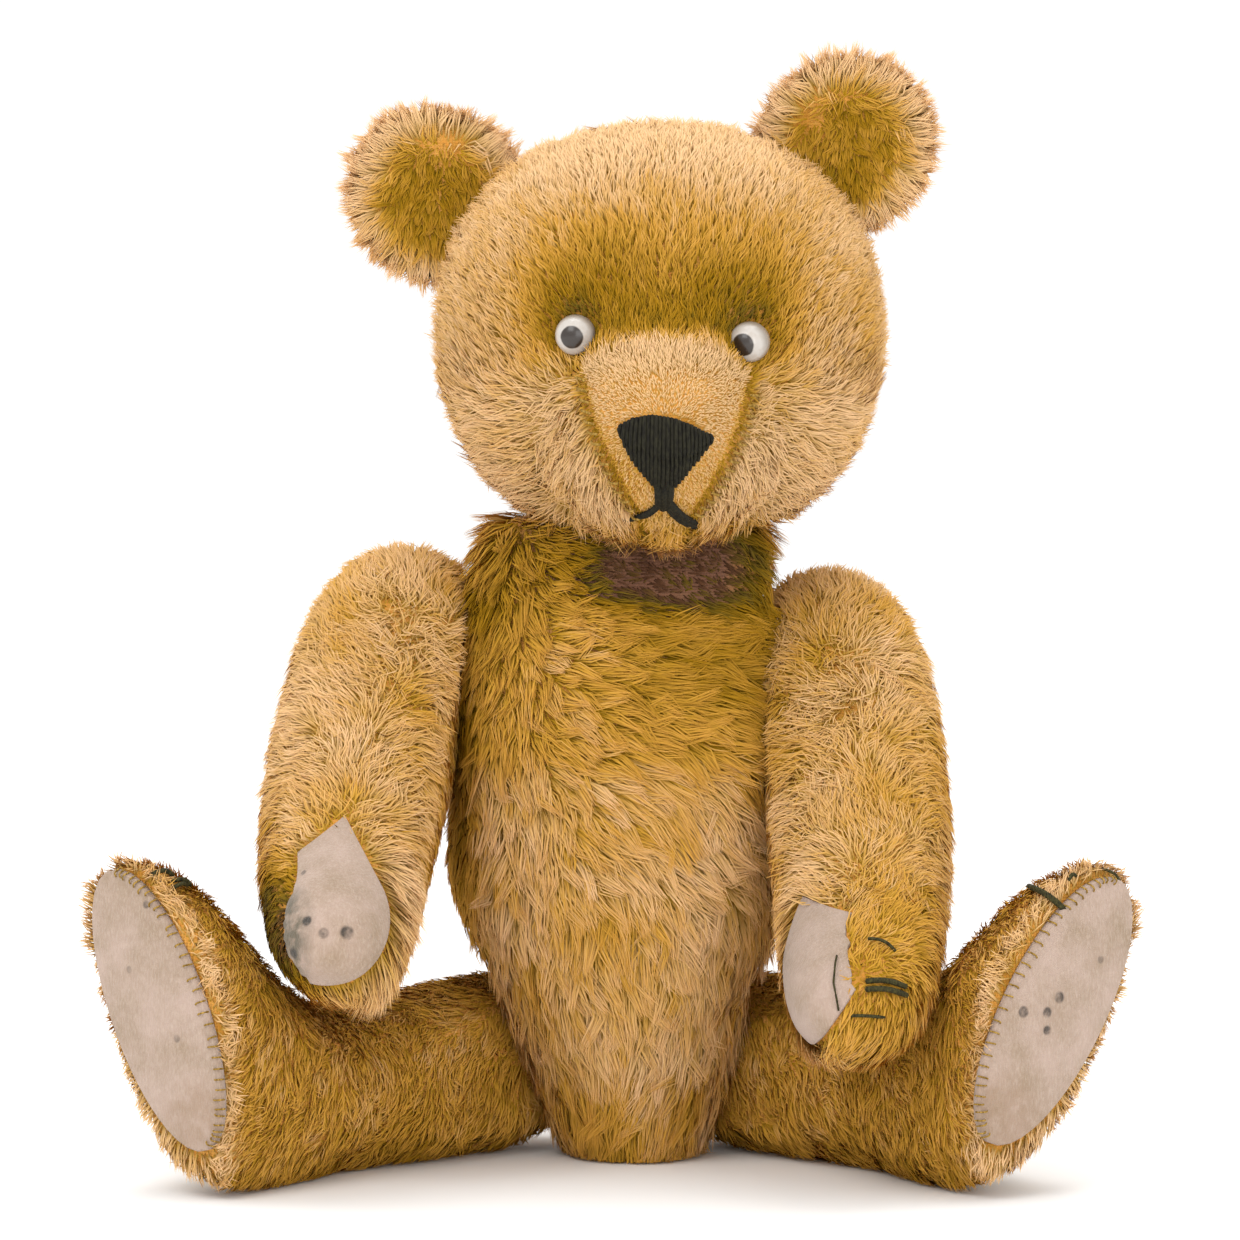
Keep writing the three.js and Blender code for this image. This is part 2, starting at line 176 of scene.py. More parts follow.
# ---------------------------------------------------------------- numbers in arrays


def unit(v):
    """Each vector divided by its length."""
    v = np.asarray(v, float)
    return v / np.maximum(np.linalg.norm(v, axis=-1, keepdims=True), 1e-9)


def dot(a, b):
    """The dot product of each pair of rows, kept as a column."""
    return (a * b).sum(-1, keepdims=True)


def ease(x, low, high):
    """0 below low, 1 above high, and 3s^2 - 2s^3 between them."""
    s = np.clip((x - low) / (high - low), 0, 1)
    return s * s * (3 - 2 * s)


def near(p, centre, radius):
    """1 at the centre, falling as exp(-(distance / radius)^2)."""
    return np.exp(-(((p - np.array(centre)) / np.array(radius)) ** 2).sum(-1))


def bell(x, centre, width):
    """1 at the centre, falling as exp(-((x - centre) / width)^2)."""
    return np.exp(-(((x - centre) / width) ** 2))


def lattice_noise(p, size, seed):
    """Smooth noise from -1 to 1: random values on a cubic lattice of the given size, blended
    between the eight corners round each point with eased weights."""
    table = np.random.default_rng(seed).uniform(-1, 1, 4096)
    q = p / size
    cell = np.floor(q).astype(np.int64)
    f = q - cell
    f = f * f * (3 - 2 * f)
    total = np.zeros(len(p))
    for corner in np.ndindex(2, 2, 2):
        c = cell + np.array(corner)
        value = table[(c[:, 0] * 73 + c[:, 1] * 179 + c[:, 2] * 283) % 4096]
        total += value * np.prod(np.where(np.array(corner) == 1, f, 1 - f), axis=1)
    return total


def stray(p, size, seed):
    """A direction that wanders smoothly over space: one noise for each of x, y and z."""
    return np.stack([lattice_noise(p, size, seed + i) for i in range(3)], -1)


def globe(rows, around):
    """The angles of a ball's rings from its first pole to its last, as a column, and of the
    points round a ring."""
    return (np.pi * np.arange(rows + 1) / rows)[:, None], np.arange(around) * 2 * np.pi / around


def spline(points, t):
    """A uniform Catmull-Rom curve through the points, with t from 0 to 1 over all of it and
    the end points mirrored to give the end slopes."""
    points = np.asarray(points, float)
    ends = (2 * points[:1] - points[1:2], 2 * points[-1:] - points[-2:-1])
    padded = np.concatenate([ends[0], points, ends[1]])
    place = np.clip(np.asarray(t, float), 0, 1) * (len(points) - 1)
    i = np.minimum(place.astype(int), len(points) - 2)
    s = (place - i)[..., None]
    a, b, c, d = (padded[i + k] for k in range(4))
    return 0.5 * (2 * b + (c - a) * s + (2 * a - 5 * b + 4 * c - d) * s**2
                  + (3 * b - a - 3 * c + d) * s**3)


# ---------------------------------------------------------------- places on the bear


class Place:
    """An origin with three directions, and points measured along them."""

    def __init__(self, origin, a, b, c):
        self.origin = np.asarray(origin, float)
        self.axes = np.array([a, b, c], float)

    def out(self, local):
        """Local points as points of the bear: origin + a*x + b*y + c*z."""
        return self.origin + np.asarray(local, float) @ self.axes

    def into(self, points):
        """Points of the bear measured along the three directions."""
        return (points - self.origin) @ self.axes.T

    def turn(self, vectors):
        """Directions of the bear measured along the three directions."""
        return vectors @ self.axes.T


def pivot_of(name):
    """A joint's pivot in the bear's drawing, and its axis pointing out of the torso."""
    joint = JOINTS[name]
    outward = -1 if name.endswith("_right") else 1
    return np.array(joint["pos_m"]) / MM - SHIFT, outward * unit(joint["axis"])


def arm_place(side):
    """Out of the shoulder, forward, and along the arm."""
    pivot, axis = pivot_of(f"shoulder_{side}")
    along = unit(ARM_ALONG[side])
    across = unit(np.cross(along, axis))
    return Place(pivot, axis, across if across[1] < 0 else -across, along)


def leg_place(side):
    """Out of the hip, up, and along the leg."""
    pivot, axis = pivot_of(f"hip_{side}")
    across = np.cross(axis, (0, 0, 1))
    return Place(pivot, axis, (0, 0, 1), across if across[1] < 0 else -across)


def palm_place(side):
    """Across the paw's pad, up it, and out of the palm, from the pad's middle."""
    along, palm = unit(ARM_ALONG[side]), unit(ARM_PALM[side])
    up = unit(-along + palm * np.dot(along, palm))
    out, forward, reach = PAW_CENTRE
    origin = arm_place(side).out((out, forward, reach * ARM_STRETCH[side]))
    return Place(origin, unit(np.cross(up, palm)), up, palm)


def sole_place(side):
    """Across the sole, up it, and out of it, from the middle of the felt's outer face."""
    leg = leg_place(side)
    lean = math.radians(LEG_LEAN[side])
    across = leg.axes[0] * math.cos(lean) - leg.axes[1] * math.sin(lean)
    up = leg.axes[0] * math.sin(lean) + leg.axes[1] * math.cos(lean)
    return Place(leg.out((*SOLE_CENTRE, SOLE_AT)), across, up, leg.axes[2])


def eye_ball(side):
    """An eye's middle and how wide it is."""
    low, high = (np.array(corner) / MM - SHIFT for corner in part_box(f"eye_{side}"))
    return (low + high) / 2, high[0] - low[0]


def face_place():
    """Across the face, up it and out of it, from the head's middle."""
    return Place(HEAD_CENTRE, (1, 0, 0), (0, 0, 1), (0, -1, 0))


# ---------------------------------------------------------------- meshes


def mesh_object(name, points, faces, uv=None):
    """A mesh object from points in millimetres and a list of face arrays, one array for each
    number of corners. uv, where given, is one (u, v) for each point."""
    mesh = bpy.data.meshes.new(name)
    sizes = np.concatenate([np.full(len(f), f.shape[1]) for f in faces])
    corners = np.concatenate([f.ravel() for f in faces]).astype(np.int32)
    mesh.vertices.add(len(points))
    mesh.vertices.foreach_set("co", ((points + SHIFT) * MM).astype(np.float32).ravel())
    mesh.loops.add(len(corners))
    mesh.loops.foreach_set("vertex_index", corners)
    mesh.polygons.add(len(sizes))
    mesh.polygons.foreach_set("loop_start", np.concatenate([[0], np.cumsum(sizes)[:-1]]).astype(np.int32))
    mesh.polygons.foreach_set("use_smooth", np.ones(len(sizes), bool))
    if uv is not None:
        layer = mesh.uv_layers.new(name="OFBake")
        layer.uv.foreach_set("vector", uv[corners].astype(np.float32).ravel())
    mesh.update(calc_edges=True)
    mesh.validate()
    obj = bpy.data.objects.new(name, mesh)
    bpy.context.scene.collection.objects.link(obj)
    return obj


def wrapped(rows, around):
    """The faces of a closed surface laid out as one pole, rows rings of around points, and the
    other pole: triangles at the poles, and four-cornered faces between rings."""
    j = np.arange(around)
    k = (j + 1) % around
    ring = 1 + np.arange(rows - 1)[:, None] * around
    quads = np.stack([ring + j, ring + k, ring + around + k, ring + around + j], -1).reshape(-1, 4)
    last = 1 + (rows - 1) * around
    top = np.stack([np.zeros(around, int), k + 1, j + 1], -1)
    bottom = np.stack([np.full(around, last + around), last + j, last + k], -1)
    return [quads, np.concatenate([top, bottom])]


def closed_object(name, north, rings, south):
    """A closed object from its poles and rings, with its faces turned outwards."""
    rows, around = rings.shape[:2]
    points = np.concatenate([[north], rings.reshape(-1, 3), [south]])
    quads, tris = wrapped(rows, around)
    a, b, c = (points[quads[:, i]] for i in range(3))
    d = points[quads[:, 3]]
    volume = (a * np.cross(b, c)).sum() + (a * np.cross(c, d)).sum()
    if volume < 0:
        quads, tris = quads[:, ::-1], tris[:, ::-1]
    return mesh_object(name, points, [quads, tris])


def read_mesh(obj):
    """An object's points in millimetres, its triangles and its points' normals."""
    mesh = obj.data
    mesh.calc_loop_triangles()
    points = np.zeros(len(mesh.vertices) * 3, np.float32)
    normals = np.zeros(len(mesh.vertices) * 3, np.float32)
    triangles = np.zeros(len(mesh.loop_triangles) * 3, np.int32)
    mesh.vertices.foreach_get("co", points)
    mesh.vertices.foreach_get("normal", normals)
    mesh.loop_triangles.foreach_get("vertices", triangles)
    return (points.reshape(-1, 3).astype(float) / MM - SHIFT, triangles.reshape(-1, 3),
            unit(normals.reshape(-1, 3)))


def write_points(obj, points):
    """Moves an object's points to the given places in millimetres."""
    obj.data.vertices.foreach_set("co", ((points + SHIFT) * MM).astype(np.float32).ravel())
    obj.data.update()


def bake_modifiers(obj):
    """Replaces an object's mesh by what its modifiers make of it."""
    shown = obj.evaluated_get(bpy.context.evaluated_depsgraph_get())
    mesh = bpy.data.meshes.new_from_object(shown)
    mesh.polygons.foreach_set("use_smooth", np.ones(len(mesh.polygons), bool))
    obj.modifiers.clear()
    obj.data = mesh


def tubes(name, paths, radius, sides):
    """Closed round threads along paths of shape (threads, steps, 3). Each section is a circle
    about the path, its first direction found from the path's own turn, and each end closes in
    a point half a radius further on."""
    paths = np.asarray(paths, float)
    count, steps = paths.shape[:2]
    radius = np.broadcast_to(np.asarray(radius, float), (count, steps))
    along = unit(np.gradient(paths, axis=1))
    helper = np.where(np.abs(along[..., 2:3]) > 0.9, (1.0, 0, 0), (0, 0, 1.0))
    first = unit(np.cross(along, helper))
    second = np.cross(along, first)
    angle = np.arange(sides) * 2 * math.pi / sides
    ring = (first[:, :, None] * np.cos(angle)[:, None]
            + second[:, :, None] * np.sin(angle)[:, None])
    rings = paths[:, :, None] + ring * radius[:, :, None, None]
    tips = along[:, [0, -1]] * radius[:, [0, -1], None] * np.array([-0.5, 0.5])[:, None]
    north, south = (paths[:, [0, -1]] + tips).transpose(1, 0, 2)
    body = np.concatenate([north[:, None], rings.reshape(count, -1, 3), south[:, None]], axis=1)
    quads, tris = wrapped(steps, sides)
    start = (np.arange(count) * body.shape[1])[:, None, None]
    return mesh_object(name, body.reshape(-1, 3),
                       [(quads[:, ::-1] + start).reshape(-1, 4), (tris[:, ::-1] + start).reshape(-1, 3)])


# ---------------------------------------------------------------- skins


def sections(stations, rows, around, blunt):
    """A soft body's rings. With v from 1 to -1 between the poles and t = (1 - v) / 2, each ring
    is an ellipse about the spine's point at t, of the half sizes at t times
    (1 - |v|^blunt)^(1/blunt)."""
    stations = np.asarray(stations, float)
    v = np.cos(np.pi * np.arange(rows + 1) / rows)
    t = (1 - v) / 2
    spine = spline(stations[:, :3], t)
    half = spline(stations[:, 3:], t)
    closing = np.maximum(1 - np.abs(v) ** blunt, 0) ** (1 / blunt)
    angle = np.arange(around) * 2 * np.pi / around
    rings = np.repeat(spine[:, None], around, axis=1)
    rings[:, :, 0] += half[:, :1] * closing[:, None] * np.cos(angle)
    rings[:, :, 1] += half[:, 1:] * closing[:, None] * np.sin(angle)
    return rings


def torso_rings():
    """The torso: its sections, flat at the seat and the neck, with each point that lies in a
    limb's reach pressed back to that limb's joint plane, and bevelled behind and over it."""
    rings = sections(TORSO, 72, 96, 5)
    rings[:, :, 2] = np.clip(rings[:, :, 2], 0, NECK[2] - GAP)
    # How far each limb reaches below, above, behind and before its joint
    reach = {"shoulder": (-120, 72, -72, 60), "hip": (-40, 50, -55, 80)}
    for joint, (down, up, back, front) in reach.items():
        for side in SIDES:
            pivot, axis = pivot_of(f"{joint}_{side}")
            along = unit(np.cross(axis, (0, 0, 1)))
            forward = along if along[1] < 0 else -along
            level = unit(np.cross(forward, axis))
            level = level if level[2] > 0 else -level
            place = Place(pivot, axis, level, forward)
            local = place.into(rings)
            inside = ((local[..., 1] > down) & (local[..., 1] < up)
                      & (local[..., 2] > back) & (local[..., 2] < front))
            above = np.maximum(local[..., 1], 0) if joint == "hip" else 0
            beyond = np.hypot(above, np.minimum(local[..., 2], 0)) - LIMB_END
            limit = -GAP + BEVEL * np.maximum(beyond, 0)
            local[..., 0] = np.where(inside, np.minimum(local[..., 0], limit), local[..., 0])
            rings = place.out(local)
    return rings


def arm_rings(side):
    """An arm: its sections, stretched along, and flat where it meets the torso."""
    stations = [[a, b, c * ARM_STRETCH[side], *half] for a, b, c, *half in ARM]
    rings = sections(stations, 64, 72, 4)
    rings[:, :, 0] = np.maximum(rings[:, :, 0], GAP)
    return arm_place(side).out(rings)


def leg_rings(side):
    """A leg: its sections, with the toe stuffed up by TOE_PADDING where it backs the felt, turned
    about the sole's middle, more and more from the ankle to the sole, and flat at the hip,
    under the foot and behind the felt."""
    rings = sections(LEG, 72, 80, 5)
    rings[:, :, 1] += TOE_PADDING * ease(rings[:, :, 2], 90, 122) * ease(rings[:, :, 1], -2, 38)
    share = np.clip((rings[:, :, 2] - LEAN_FROM) / (SOLE_AT - LEAN_FROM), 0, 1)
    lean = np.radians(LEG_LEAN[side]) * share
    x = rings[:, :, 0] - SOLE_CENTRE[0]
    y = rings[:, :, 1] - SOLE_CENTRE[1]
    place = leg_place(side)
    rings[:, :, 0] = np.maximum(SOLE_CENTRE[0] + x * np.cos(lean) + y * np.sin(lean), GAP)
    rings[:, :, 1] = np.maximum(SOLE_CENTRE[1] - x * np.sin(lean) + y * np.cos(lean), -place.origin[2])
    rings[:, :, 2] = np.minimum(rings[:, :, 2], SOLE_AT - FELT - GAP)
    return place.out(rings)


def head_rings():
    """The head: v / (|x|^n + |y|^n + |z|^n)^(1/n) for each direction v, times the half sizes.
    Inside the muzzle's ellipse the front is drawn out by (1 - r^2.2)^1.25 of the muzzle's
    length, and the chin is drawn down. The underside is pressed flat over the neck."""
    polar, turn = globe(80, 120)
    v = np.stack(np.broadcast_arrays(np.sin(polar) * np.cos(turn), np.sin(polar) * np.sin(turn),
                                     np.cos(polar)), -1)
    size = (np.abs(v) ** HEAD_SQUARE).sum(-1, keepdims=True) ** (-1 / HEAD_SQUARE)
    p = v * size * HEAD_HALF
    r = np.hypot(p[..., 0] / MUZZLE_HALF[0], (p[..., 2] + MUZZLE_DROP) / MUZZLE_HALF[1])
    share = np.where(p[..., 1] < 0, np.maximum(1 - r**2.2, 0) ** 1.25, 0)
    below = np.maximum(-(p[..., 2] + MUZZLE_DROP) / MUZZLE_HALF[1], 0)
    p[..., 1] -= MUZZLE_LENGTH * share
    p[..., 2] -= CHIN_DROP * share * below
    p += HEAD_CENTRE
    over_neck = np.hypot(p[..., 0] - NECK[0], p[..., 1] - NECK[1]) < NECK_CUP
    p[..., 2] = np.where(over_neck, np.maximum(p[..., 2], NECK[2] + GAP), p[..., 2])
    return p


def ear_rings(side):
    """An ear: a flattened ball whose two faces both bend back by the bowl's depth."""
    polar, turn = globe(40, 60)
    x = np.sin(polar) * np.cos(turn)
    y = np.broadcast_to(np.cos(polar), x.shape)
    z = np.sin(polar) * np.sin(turn)
    bowl = EAR_BOWL * (1 - x * x - z * z)
    p = np.stack([EAR_HALF[0] * x, EAR_HALF[1] * y + bowl, EAR_HALF[2] * z], -1)
    tilt = math.radians(EAR_TILT[side])
    rolled = np.stack([p[..., 0] * math.cos(tilt) - p[..., 2] * math.sin(tilt), p[..., 1],
                       p[..., 0] * math.sin(tilt) + p[..., 2] * math.cos(tilt)], -1)
    return rolled + np.array(EAR_CENTRE[side])


def stuffed(name, rings, voxel, slack, cap, stay):
    """A sewn skin with stuffing in it: the closed surface of the rings, remeshed to an even
    cloth, drawn in by slack, and blown up as cloth under pressure. Each point moves cap
    millimetres at most, times what stay gives for it (0 keeps it where it is)."""
    obj = closed_object(name, rings[0, 0], rings[1:-1], rings[-1, 0])
    even = obj.modifiers.new("even_cloth", "REMESH")
    even.mode = "VOXEL"
    even.voxel_size = voxel * MM
    bake_modifiers(obj)
    points, _, normals = read_mesh(obj)
    loose = stay(points, normals)[:, None]
    points = points - normals * slack * loose
    write_points(obj, points)
    press = obj.modifiers.new("stuffing", "CLOTH")
    press.settings.use_pressure = True
    press.settings.uniform_pressure_force = STUFFING
    press.settings.effector_weights.gravity = 0
    press.settings.quality = 4
    for step in range(1, 21):
        bpy.context.scene.frame_set(step)
    blown = obj.evaluated_get(bpy.context.evaluated_depsgraph_get())
    moved = np.zeros(len(points) * 3, np.float32)
    blown.data.vertices.foreach_get("co", moved)
    move = moved.reshape(-1, 3).astype(float) / MM - SHIFT - points
    obj.modifiers.clear()
    bpy.context.scene.frame_set(1)
    far = np.linalg.norm(move, axis=1, keepdims=True)
    points = points + move * np.minimum(1, cap / np.maximum(far, 1e-6)) * loose
    write_points(obj, points)
    fine = obj.modifiers.new("fine", "SUBSURF")
    fine.levels = fine.render_levels = 1
    bake_modifiers(obj)
    return obj


def over(skin, place, flat):
    """Points on a skin that lie over the given (x, y) of a place, the skin's normals there and
    whether there is any skin. Each triangle that faces out of the place is laid flat on it;
    where a point falls inside one, its height is the blend of the corners' heights, and the
    highest such counts."""
    points, triangles, normals = skin
    local = place.into(points)
    facing = place.turn(normals)[:, 2] > 0.02
    used = triangles[facing[triangles].any(axis=1)]
    flat = np.asarray(flat, float).reshape(-1, 2)
    near_box = (local[used][:, :, :2].max(1) > flat.min(0) - 4).all(1)
    near_box &= (local[used][:, :, :2].min(1) < flat.max(0) + 4).all(1)
    used = used[near_box]
    a, b, c = (local[used[:, i]] for i in range(3))
    area = ((b - a)[:, 0] * (c - a)[:, 1] - (b - a)[:, 1] * (c - a)[:, 0])
    sound = np.abs(area) > 1e-6
    used, a, b, c, area = used[sound], a[sound], b[sound], c[sound], area[sound]
    heights = np.full(len(flat), -np.inf)
    found = np.zeros((len(flat), 3))
    for start in range(0, len(flat), 400):
        p = flat[start:start + 400, None]
        from_a, from_b, from_c = (corner[:, :2] - p for corner in (a, b, c))
        u = (from_b[..., 0] * from_c[..., 1] - from_b[..., 1] * from_c[..., 0]) / area
        v = (from_c[..., 0] * from_a[..., 1] - from_c[..., 1] * from_a[..., 0]) / area
        w = 1 - u - v
        inside = (u > -1e-6) & (v > -1e-6) & (w > -1e-6)
        z = np.where(inside, u * a[:, 2] + v * b[:, 2] + w * c[:, 2], -np.inf)
        best = z.argmax(axis=1)
        row = np.arange(len(best))
        heights[start:start + 400] = z[row, best]
        share = np.stack([u[row, best], v[row, best], w[row, best]], -1)
        found[start:start + 400] = (normals[used[best]] * share[..., None]).sum(1)
    hit = np.isfinite(heights)
    return place.out(np.column_stack([flat, np.where(hit, heights, 0)])), unit(found), hit


def drape(skin, place, flat):
    """Points on a skin over the given (x, y) of a place, and its normals, with no point off it."""
    points, normals, hit = over(skin, place, flat)
    if not hit.all():
        raise RuntimeError(f"{(~hit).sum()} draped points miss the skin")
    return points, normals


# ---------------------------------------------------------------- materials


class Sum:
    """A socket that holds a number, so that arithmetic on it adds Math nodes."""

    def __init__(self, shade, socket):
        self.shade, self.socket = shade, socket

    def __add__(self, other):
        return self.shade.math("ADD", self, other)

    def __sub__(self, other):
        return self.shade.math("SUBTRACT", self, other)

    def __rsub__(self, other):
        return self.shade.math("SUBTRACT", other, self)

    def __mul__(self, other):
        return self.shade.math("MULTIPLY", self, other)

    __radd__ = __add__
    __rmul__ = __mul__


class Shade:
    """A material: one Principled shader, and the nodes that feed it."""

    def __init__(self, name, **constants):
        self.material = bpy.data.materials.new(name)
        self.material.use_nodes = True
        self.tree = self.material.node_tree
        self.shader = self.tree.nodes["Principled BSDF"]
        self.put(self.shader, {key.replace("_", " "): value for key, value in constants.items()})

    def put(self, node, inputs):
        """Sets or links each input, found by its name or its number."""
        for key, value in inputs.items():
            socket = node.inputs[key]
            if isinstance(value, Sum):
                self.tree.links.new(value.socket, socket)
            elif isinstance(value, bpy.types.NodeSocket):
                self.tree.links.new(value, socket)
            else:
                socket.default_value = value

    def node(self, kind, settings=(), inputs=(), output=0):
        """A node of a kind, with its settings first and then its inputs; gives one output."""
        made = self.tree.nodes.new(kind)
        for key, value in dict(settings).items():
            if key == "stops":
                ramp = made.color_ramp.elements
                while len(ramp) < len(value):
                    ramp.new(1)
                for element, (place, _) in zip(ramp, value):
                    element.position = place
                for element, (_, tint) in zip(ramp, value):
                    element.color = (*tint[:3], 1)
            else:
                setattr(made, key, value)
        self.put(made, dict(inputs))
        return made.outputs[output]

    def math(self, operation, a, b=0.0, clamp=False):
        """One Math node."""
        made = self.node("ShaderNodeMath", {"operation": operation, "use_clamp": clamp}, {0: a, 1: b})
        return Sum(self, made)

    def place(self):
        """Object coordinates."""
        return self.node("ShaderNodeTexCoord", output="Object")

    def noise(self, size, detail=3.0, rough=0.55, stretch=(1, 1, 1)):
        """Noise from 0 to 1, size millimetres across, with its pattern stretched."""
        scaled = self.node("ShaderNodeMapping", {}, {"Vector": self.place(), "Scale": stretch})
        made = self.node("ShaderNodeTexNoise", {}, {
            "Vector": scaled, "Scale": 1 / (size * MM), "Detail": detail, "Roughness": rough})
        return Sum(self, made)

    def step(self, value, low, high):
        """0 below low and 1 above high."""
        return self.math("MULTIPLY", value - low, 1 / (high - low), clamp=True)

    def blend(self, factor, a, b, how="MIX"):
        """Two colours mixed by a factor."""
        return self.node("ShaderNodeMix", {"data_type": "RGBA", "blend_type": how},
                         {0: factor, 6: a, 7: b}, output=2)

    def spot(self, centre, radius, soft=0.35):
        """1 within a radius of a point of the bear, in millimetres, and 0 outside it."""
        away = self.node("ShaderNodeVectorMath", {"operation": "DISTANCE"},
                         {0: self.place(), 1: tuple((np.array(centre) + SHIFT) * MM)}, output=1)
        return self.step(Sum(self, away), radius * MM, radius * (1 - soft) * MM)

    def bump(self, height, depth):
        """Feeds Normal with a height, depth millimetres deep."""
        made = self.node("ShaderNodeBump", {}, {"Height": height, "Distance": depth * MM, "Strength": 1.0})
        self.put(self.shader, {"Normal": made})

    def done(self, **links):
        """Links what is given to the shader and hands back the material."""
        self.put(self.shader, {key.replace("_", " "): value for key, value in links.items()})
        return self.material


def ink(code):
    """A colour for a shader from its usual six-figure code."""
    channels = np.array([int(code[i:i + 2], 16) for i in (0, 2, 4)]) / 255
    linear = np.where(channels <= 0.04045, channels / 12.92, ((channels + 0.055) / 1.055) ** 2.4)
    return (*(round(float(c), 4) for c in linear), 1.0)


def pile_material():
    """Mohair: along each hair from a darker root to a paler tip, painted shade deep in the pile and painted
    light on the tips, and from stained to pale by the hair's own hue.
    """
    look = bpy.context.scene.bear_pile
    shade = Shade("mohair_pile", Roughness=0.85, Specular_IOR_Level=0.08)
    uv = shade.node("ShaderNodeUVMap", {"uv_map": "OFBake"})
    along, hue = (shade.node("ShaderNodeSeparateXYZ", {}, {0: uv}, output=i) for i in (0, 1))
    places = (0.05, 0.18, 0.38, 0.65, 0.92)
    names = ("neck", "stain", "olive", "gold", "peach")
    roots, tips = ([(p, getattr(look, f"{name}_{end}")) for p, name in zip(places, names)]
                   for end in ("root", "tip"))
    root = shade.node("ShaderNodeValToRGB", {"stops": roots}, {0: hue})
    tip = shade.node("ShaderNodeValToRGB", {"stops": tips}, {0: hue})
    # Painted shade and light: the darker root colours paint the shade deep in the pile, the paler tip
    # colours paint the light on the tips
    rise = shade.math("POWER", Sum(shade, along), look.fade)
    return shade.done(Base_Color=shade.blend(rise, root, tip))


def backing_material():
    """The cotton backing under the pile: a plain weave in olive gold, browner where it is worn."""
    shade = Shade("worn_backing", Roughness=0.95)
    patches = shade.noise(11, 4)
    fine = shade.noise(0.8, 2)
    ground = shade.blend(shade.step(patches, 0.35, 0.65), ink("a07822"), ink("c89c50"))
    thready = shade.blend(fine, ground, ink("d8b27c"), "OVERLAY")
    neck = shade.spot((7, -20, 150), 34, 0.4)
    stained = shade.blend(neck * 0.85, thready, ink("5a3a35"))
    warp, weft = (shade.node("ShaderNodeTexWave", {"bands_direction": way},
                             {"Vector": shade.place(), "Scale": 420.0, "Distortion": 1.5}, output=1)
                  for way in ("X", "Z"))
    shade.bump(Sum(shade, warp) + Sum(shade, weft) + fine * 1.5, 0.12)
    return shade.done(Base_Color=stained)


def felt_material(name, spots):
    """Worn wool felt: matted fibres, grey-brown grime in clouds and small dark wear spots, each
    spot a point of the bear, a radius, a strength and a colour."""
    look = bpy.context.scene.bear_felt
    shade = Shade(name, Roughness=0.97)
    shade.put(shade.shader, {"Sheen Weight": 0.25, "Sheen Roughness": 0.6})
    cloud = shade.noise(13, 5, 0.6)
    fibre = shade.noise(0.55, 3, 0.7, (1, 1, 0.35))
    base = shade.blend(shade.step(cloud, 0.36, 0.68), look.clean, look.grime)
    colour = shade.blend(shade.step(fibre, 0.45, 0.75) * 0.45, base, look.nap)
    for centre, radius, strength, tint in spots:
        ragged = shade.spot(centre, radius) * shade.step(shade.noise(3.5, 3), 0.25, 0.55)
        colour = shade.blend(ragged * strength, colour, ink(tint))
    shade.bump(fibre + shade.noise(0.3, 2) * 0.6 + cloud * 0.8, 0.35)
    return shade.done(Base_Color=colour)


def thread_material(name, dark, light, roughness=0.75, twist=0.5):
    """Stranded thread: fine streaks between a dark and a light colour."""
    shade = Shade(name, Roughness=roughness, Specular_IOR_Level=0.2)
    streak = shade.noise(twist, 2, 0.6, (1, 1, 0.4))
    shade.bump(streak, 0.15)
    return shade.done(Base_Color=shade.blend(shade.step(streak, 0.35, 0.7), dark, light))


def eye_material(side, centre, gaze):
    """A glass eye: off-white, with a brown-black pupil round the way it looks and a darker ring
    of painted shade towards its edge, where it sinks into the pile."""
    look = bpy.context.scene.bear_eyes
    shade = Shade(f"eye_glass_{side}", Roughness=0.3, Coat_Weight=0.35, Coat_Roughness=0.12)
    away = shade.node("ShaderNodeVectorMath", {"operation": "SUBTRACT"},
                      {0: shade.place(), 1: tuple((centre + SHIFT) * MM)})
    level = shade.node("ShaderNodeVectorMath", {"operation": "NORMALIZE"}, {0: away})
    aim = shade.node("ShaderNodeVectorMath", {"operation": "DOT_PRODUCT"},
                     {0: level, 1: tuple(unit(gaze))}, output=1)
    edge = math.cos(look.pupil)
    wobble = shade.noise(2.2, 2) * 0.05
    inside = shade.step(Sum(shade, aim) + wobble, edge - 0.005, edge + 0.035)
    veins = shade.step(shade.noise(1.4, 4, 0.65), 0.45, 0.8)
    white = shade.blend(veins * 0.5, look.white, look.haze)
    # Painted shade: the glass darker towards its edge, where the pile shades it
    rim = shade.step(Sum(shade, aim), 0.55, 0.2)
    white_in_painted_shade = shade.blend(rim * 0.7, white, ink("7a6a58"))
    return shade.done(Base_Color=shade.blend(inside, white_in_painted_shade, look.iris))


def board_material():
    """Fibre board: brown, with short pressed fibres."""
    shade = Shade("joint_board_fibre", Roughness=0.85)
    fibre = shade.noise(1.2, 4, 0.7, (1, 1, 0.3))
    shade.bump(fibre, 0.2)
    return shade.done(Base_Color=shade.blend(fibre, ink("5e4026"), ink("a27c50")))


def steel_material():
    """Old steel wire and washers: grey, with rust where the noise is high."""
    shade = Shade("joint_steel", Specular_IOR_Level=0.5)
    rust = shade.step(shade.noise(2.5, 4), 0.5, 0.62)
    shade.bump(shade.noise(0.5, 2), 0.05)
    return shade.done(Base_Color=shade.blend(rust, ink("8c8a86"), ink("6e4026")),
                      Metallic=1 - rust * 0.9, Roughness=rust * 0.5 + 0.35)


def floor_material():
    """A pale matt floor with the faintest mottling."""
    shade = Shade("pale_floor", Roughness=0.9)
    mottle = shade.noise(220, 3)
    return shade.done(Base_Color=shade.blend(mottle, ink("fafaf9"), ink("fcfcfb")))


def wear(obj, material):
    """Gives an object one material."""
    obj.data.materials.clear()
    obj.data.materials.append(material)


# ---------------------------------------------------------------- pile


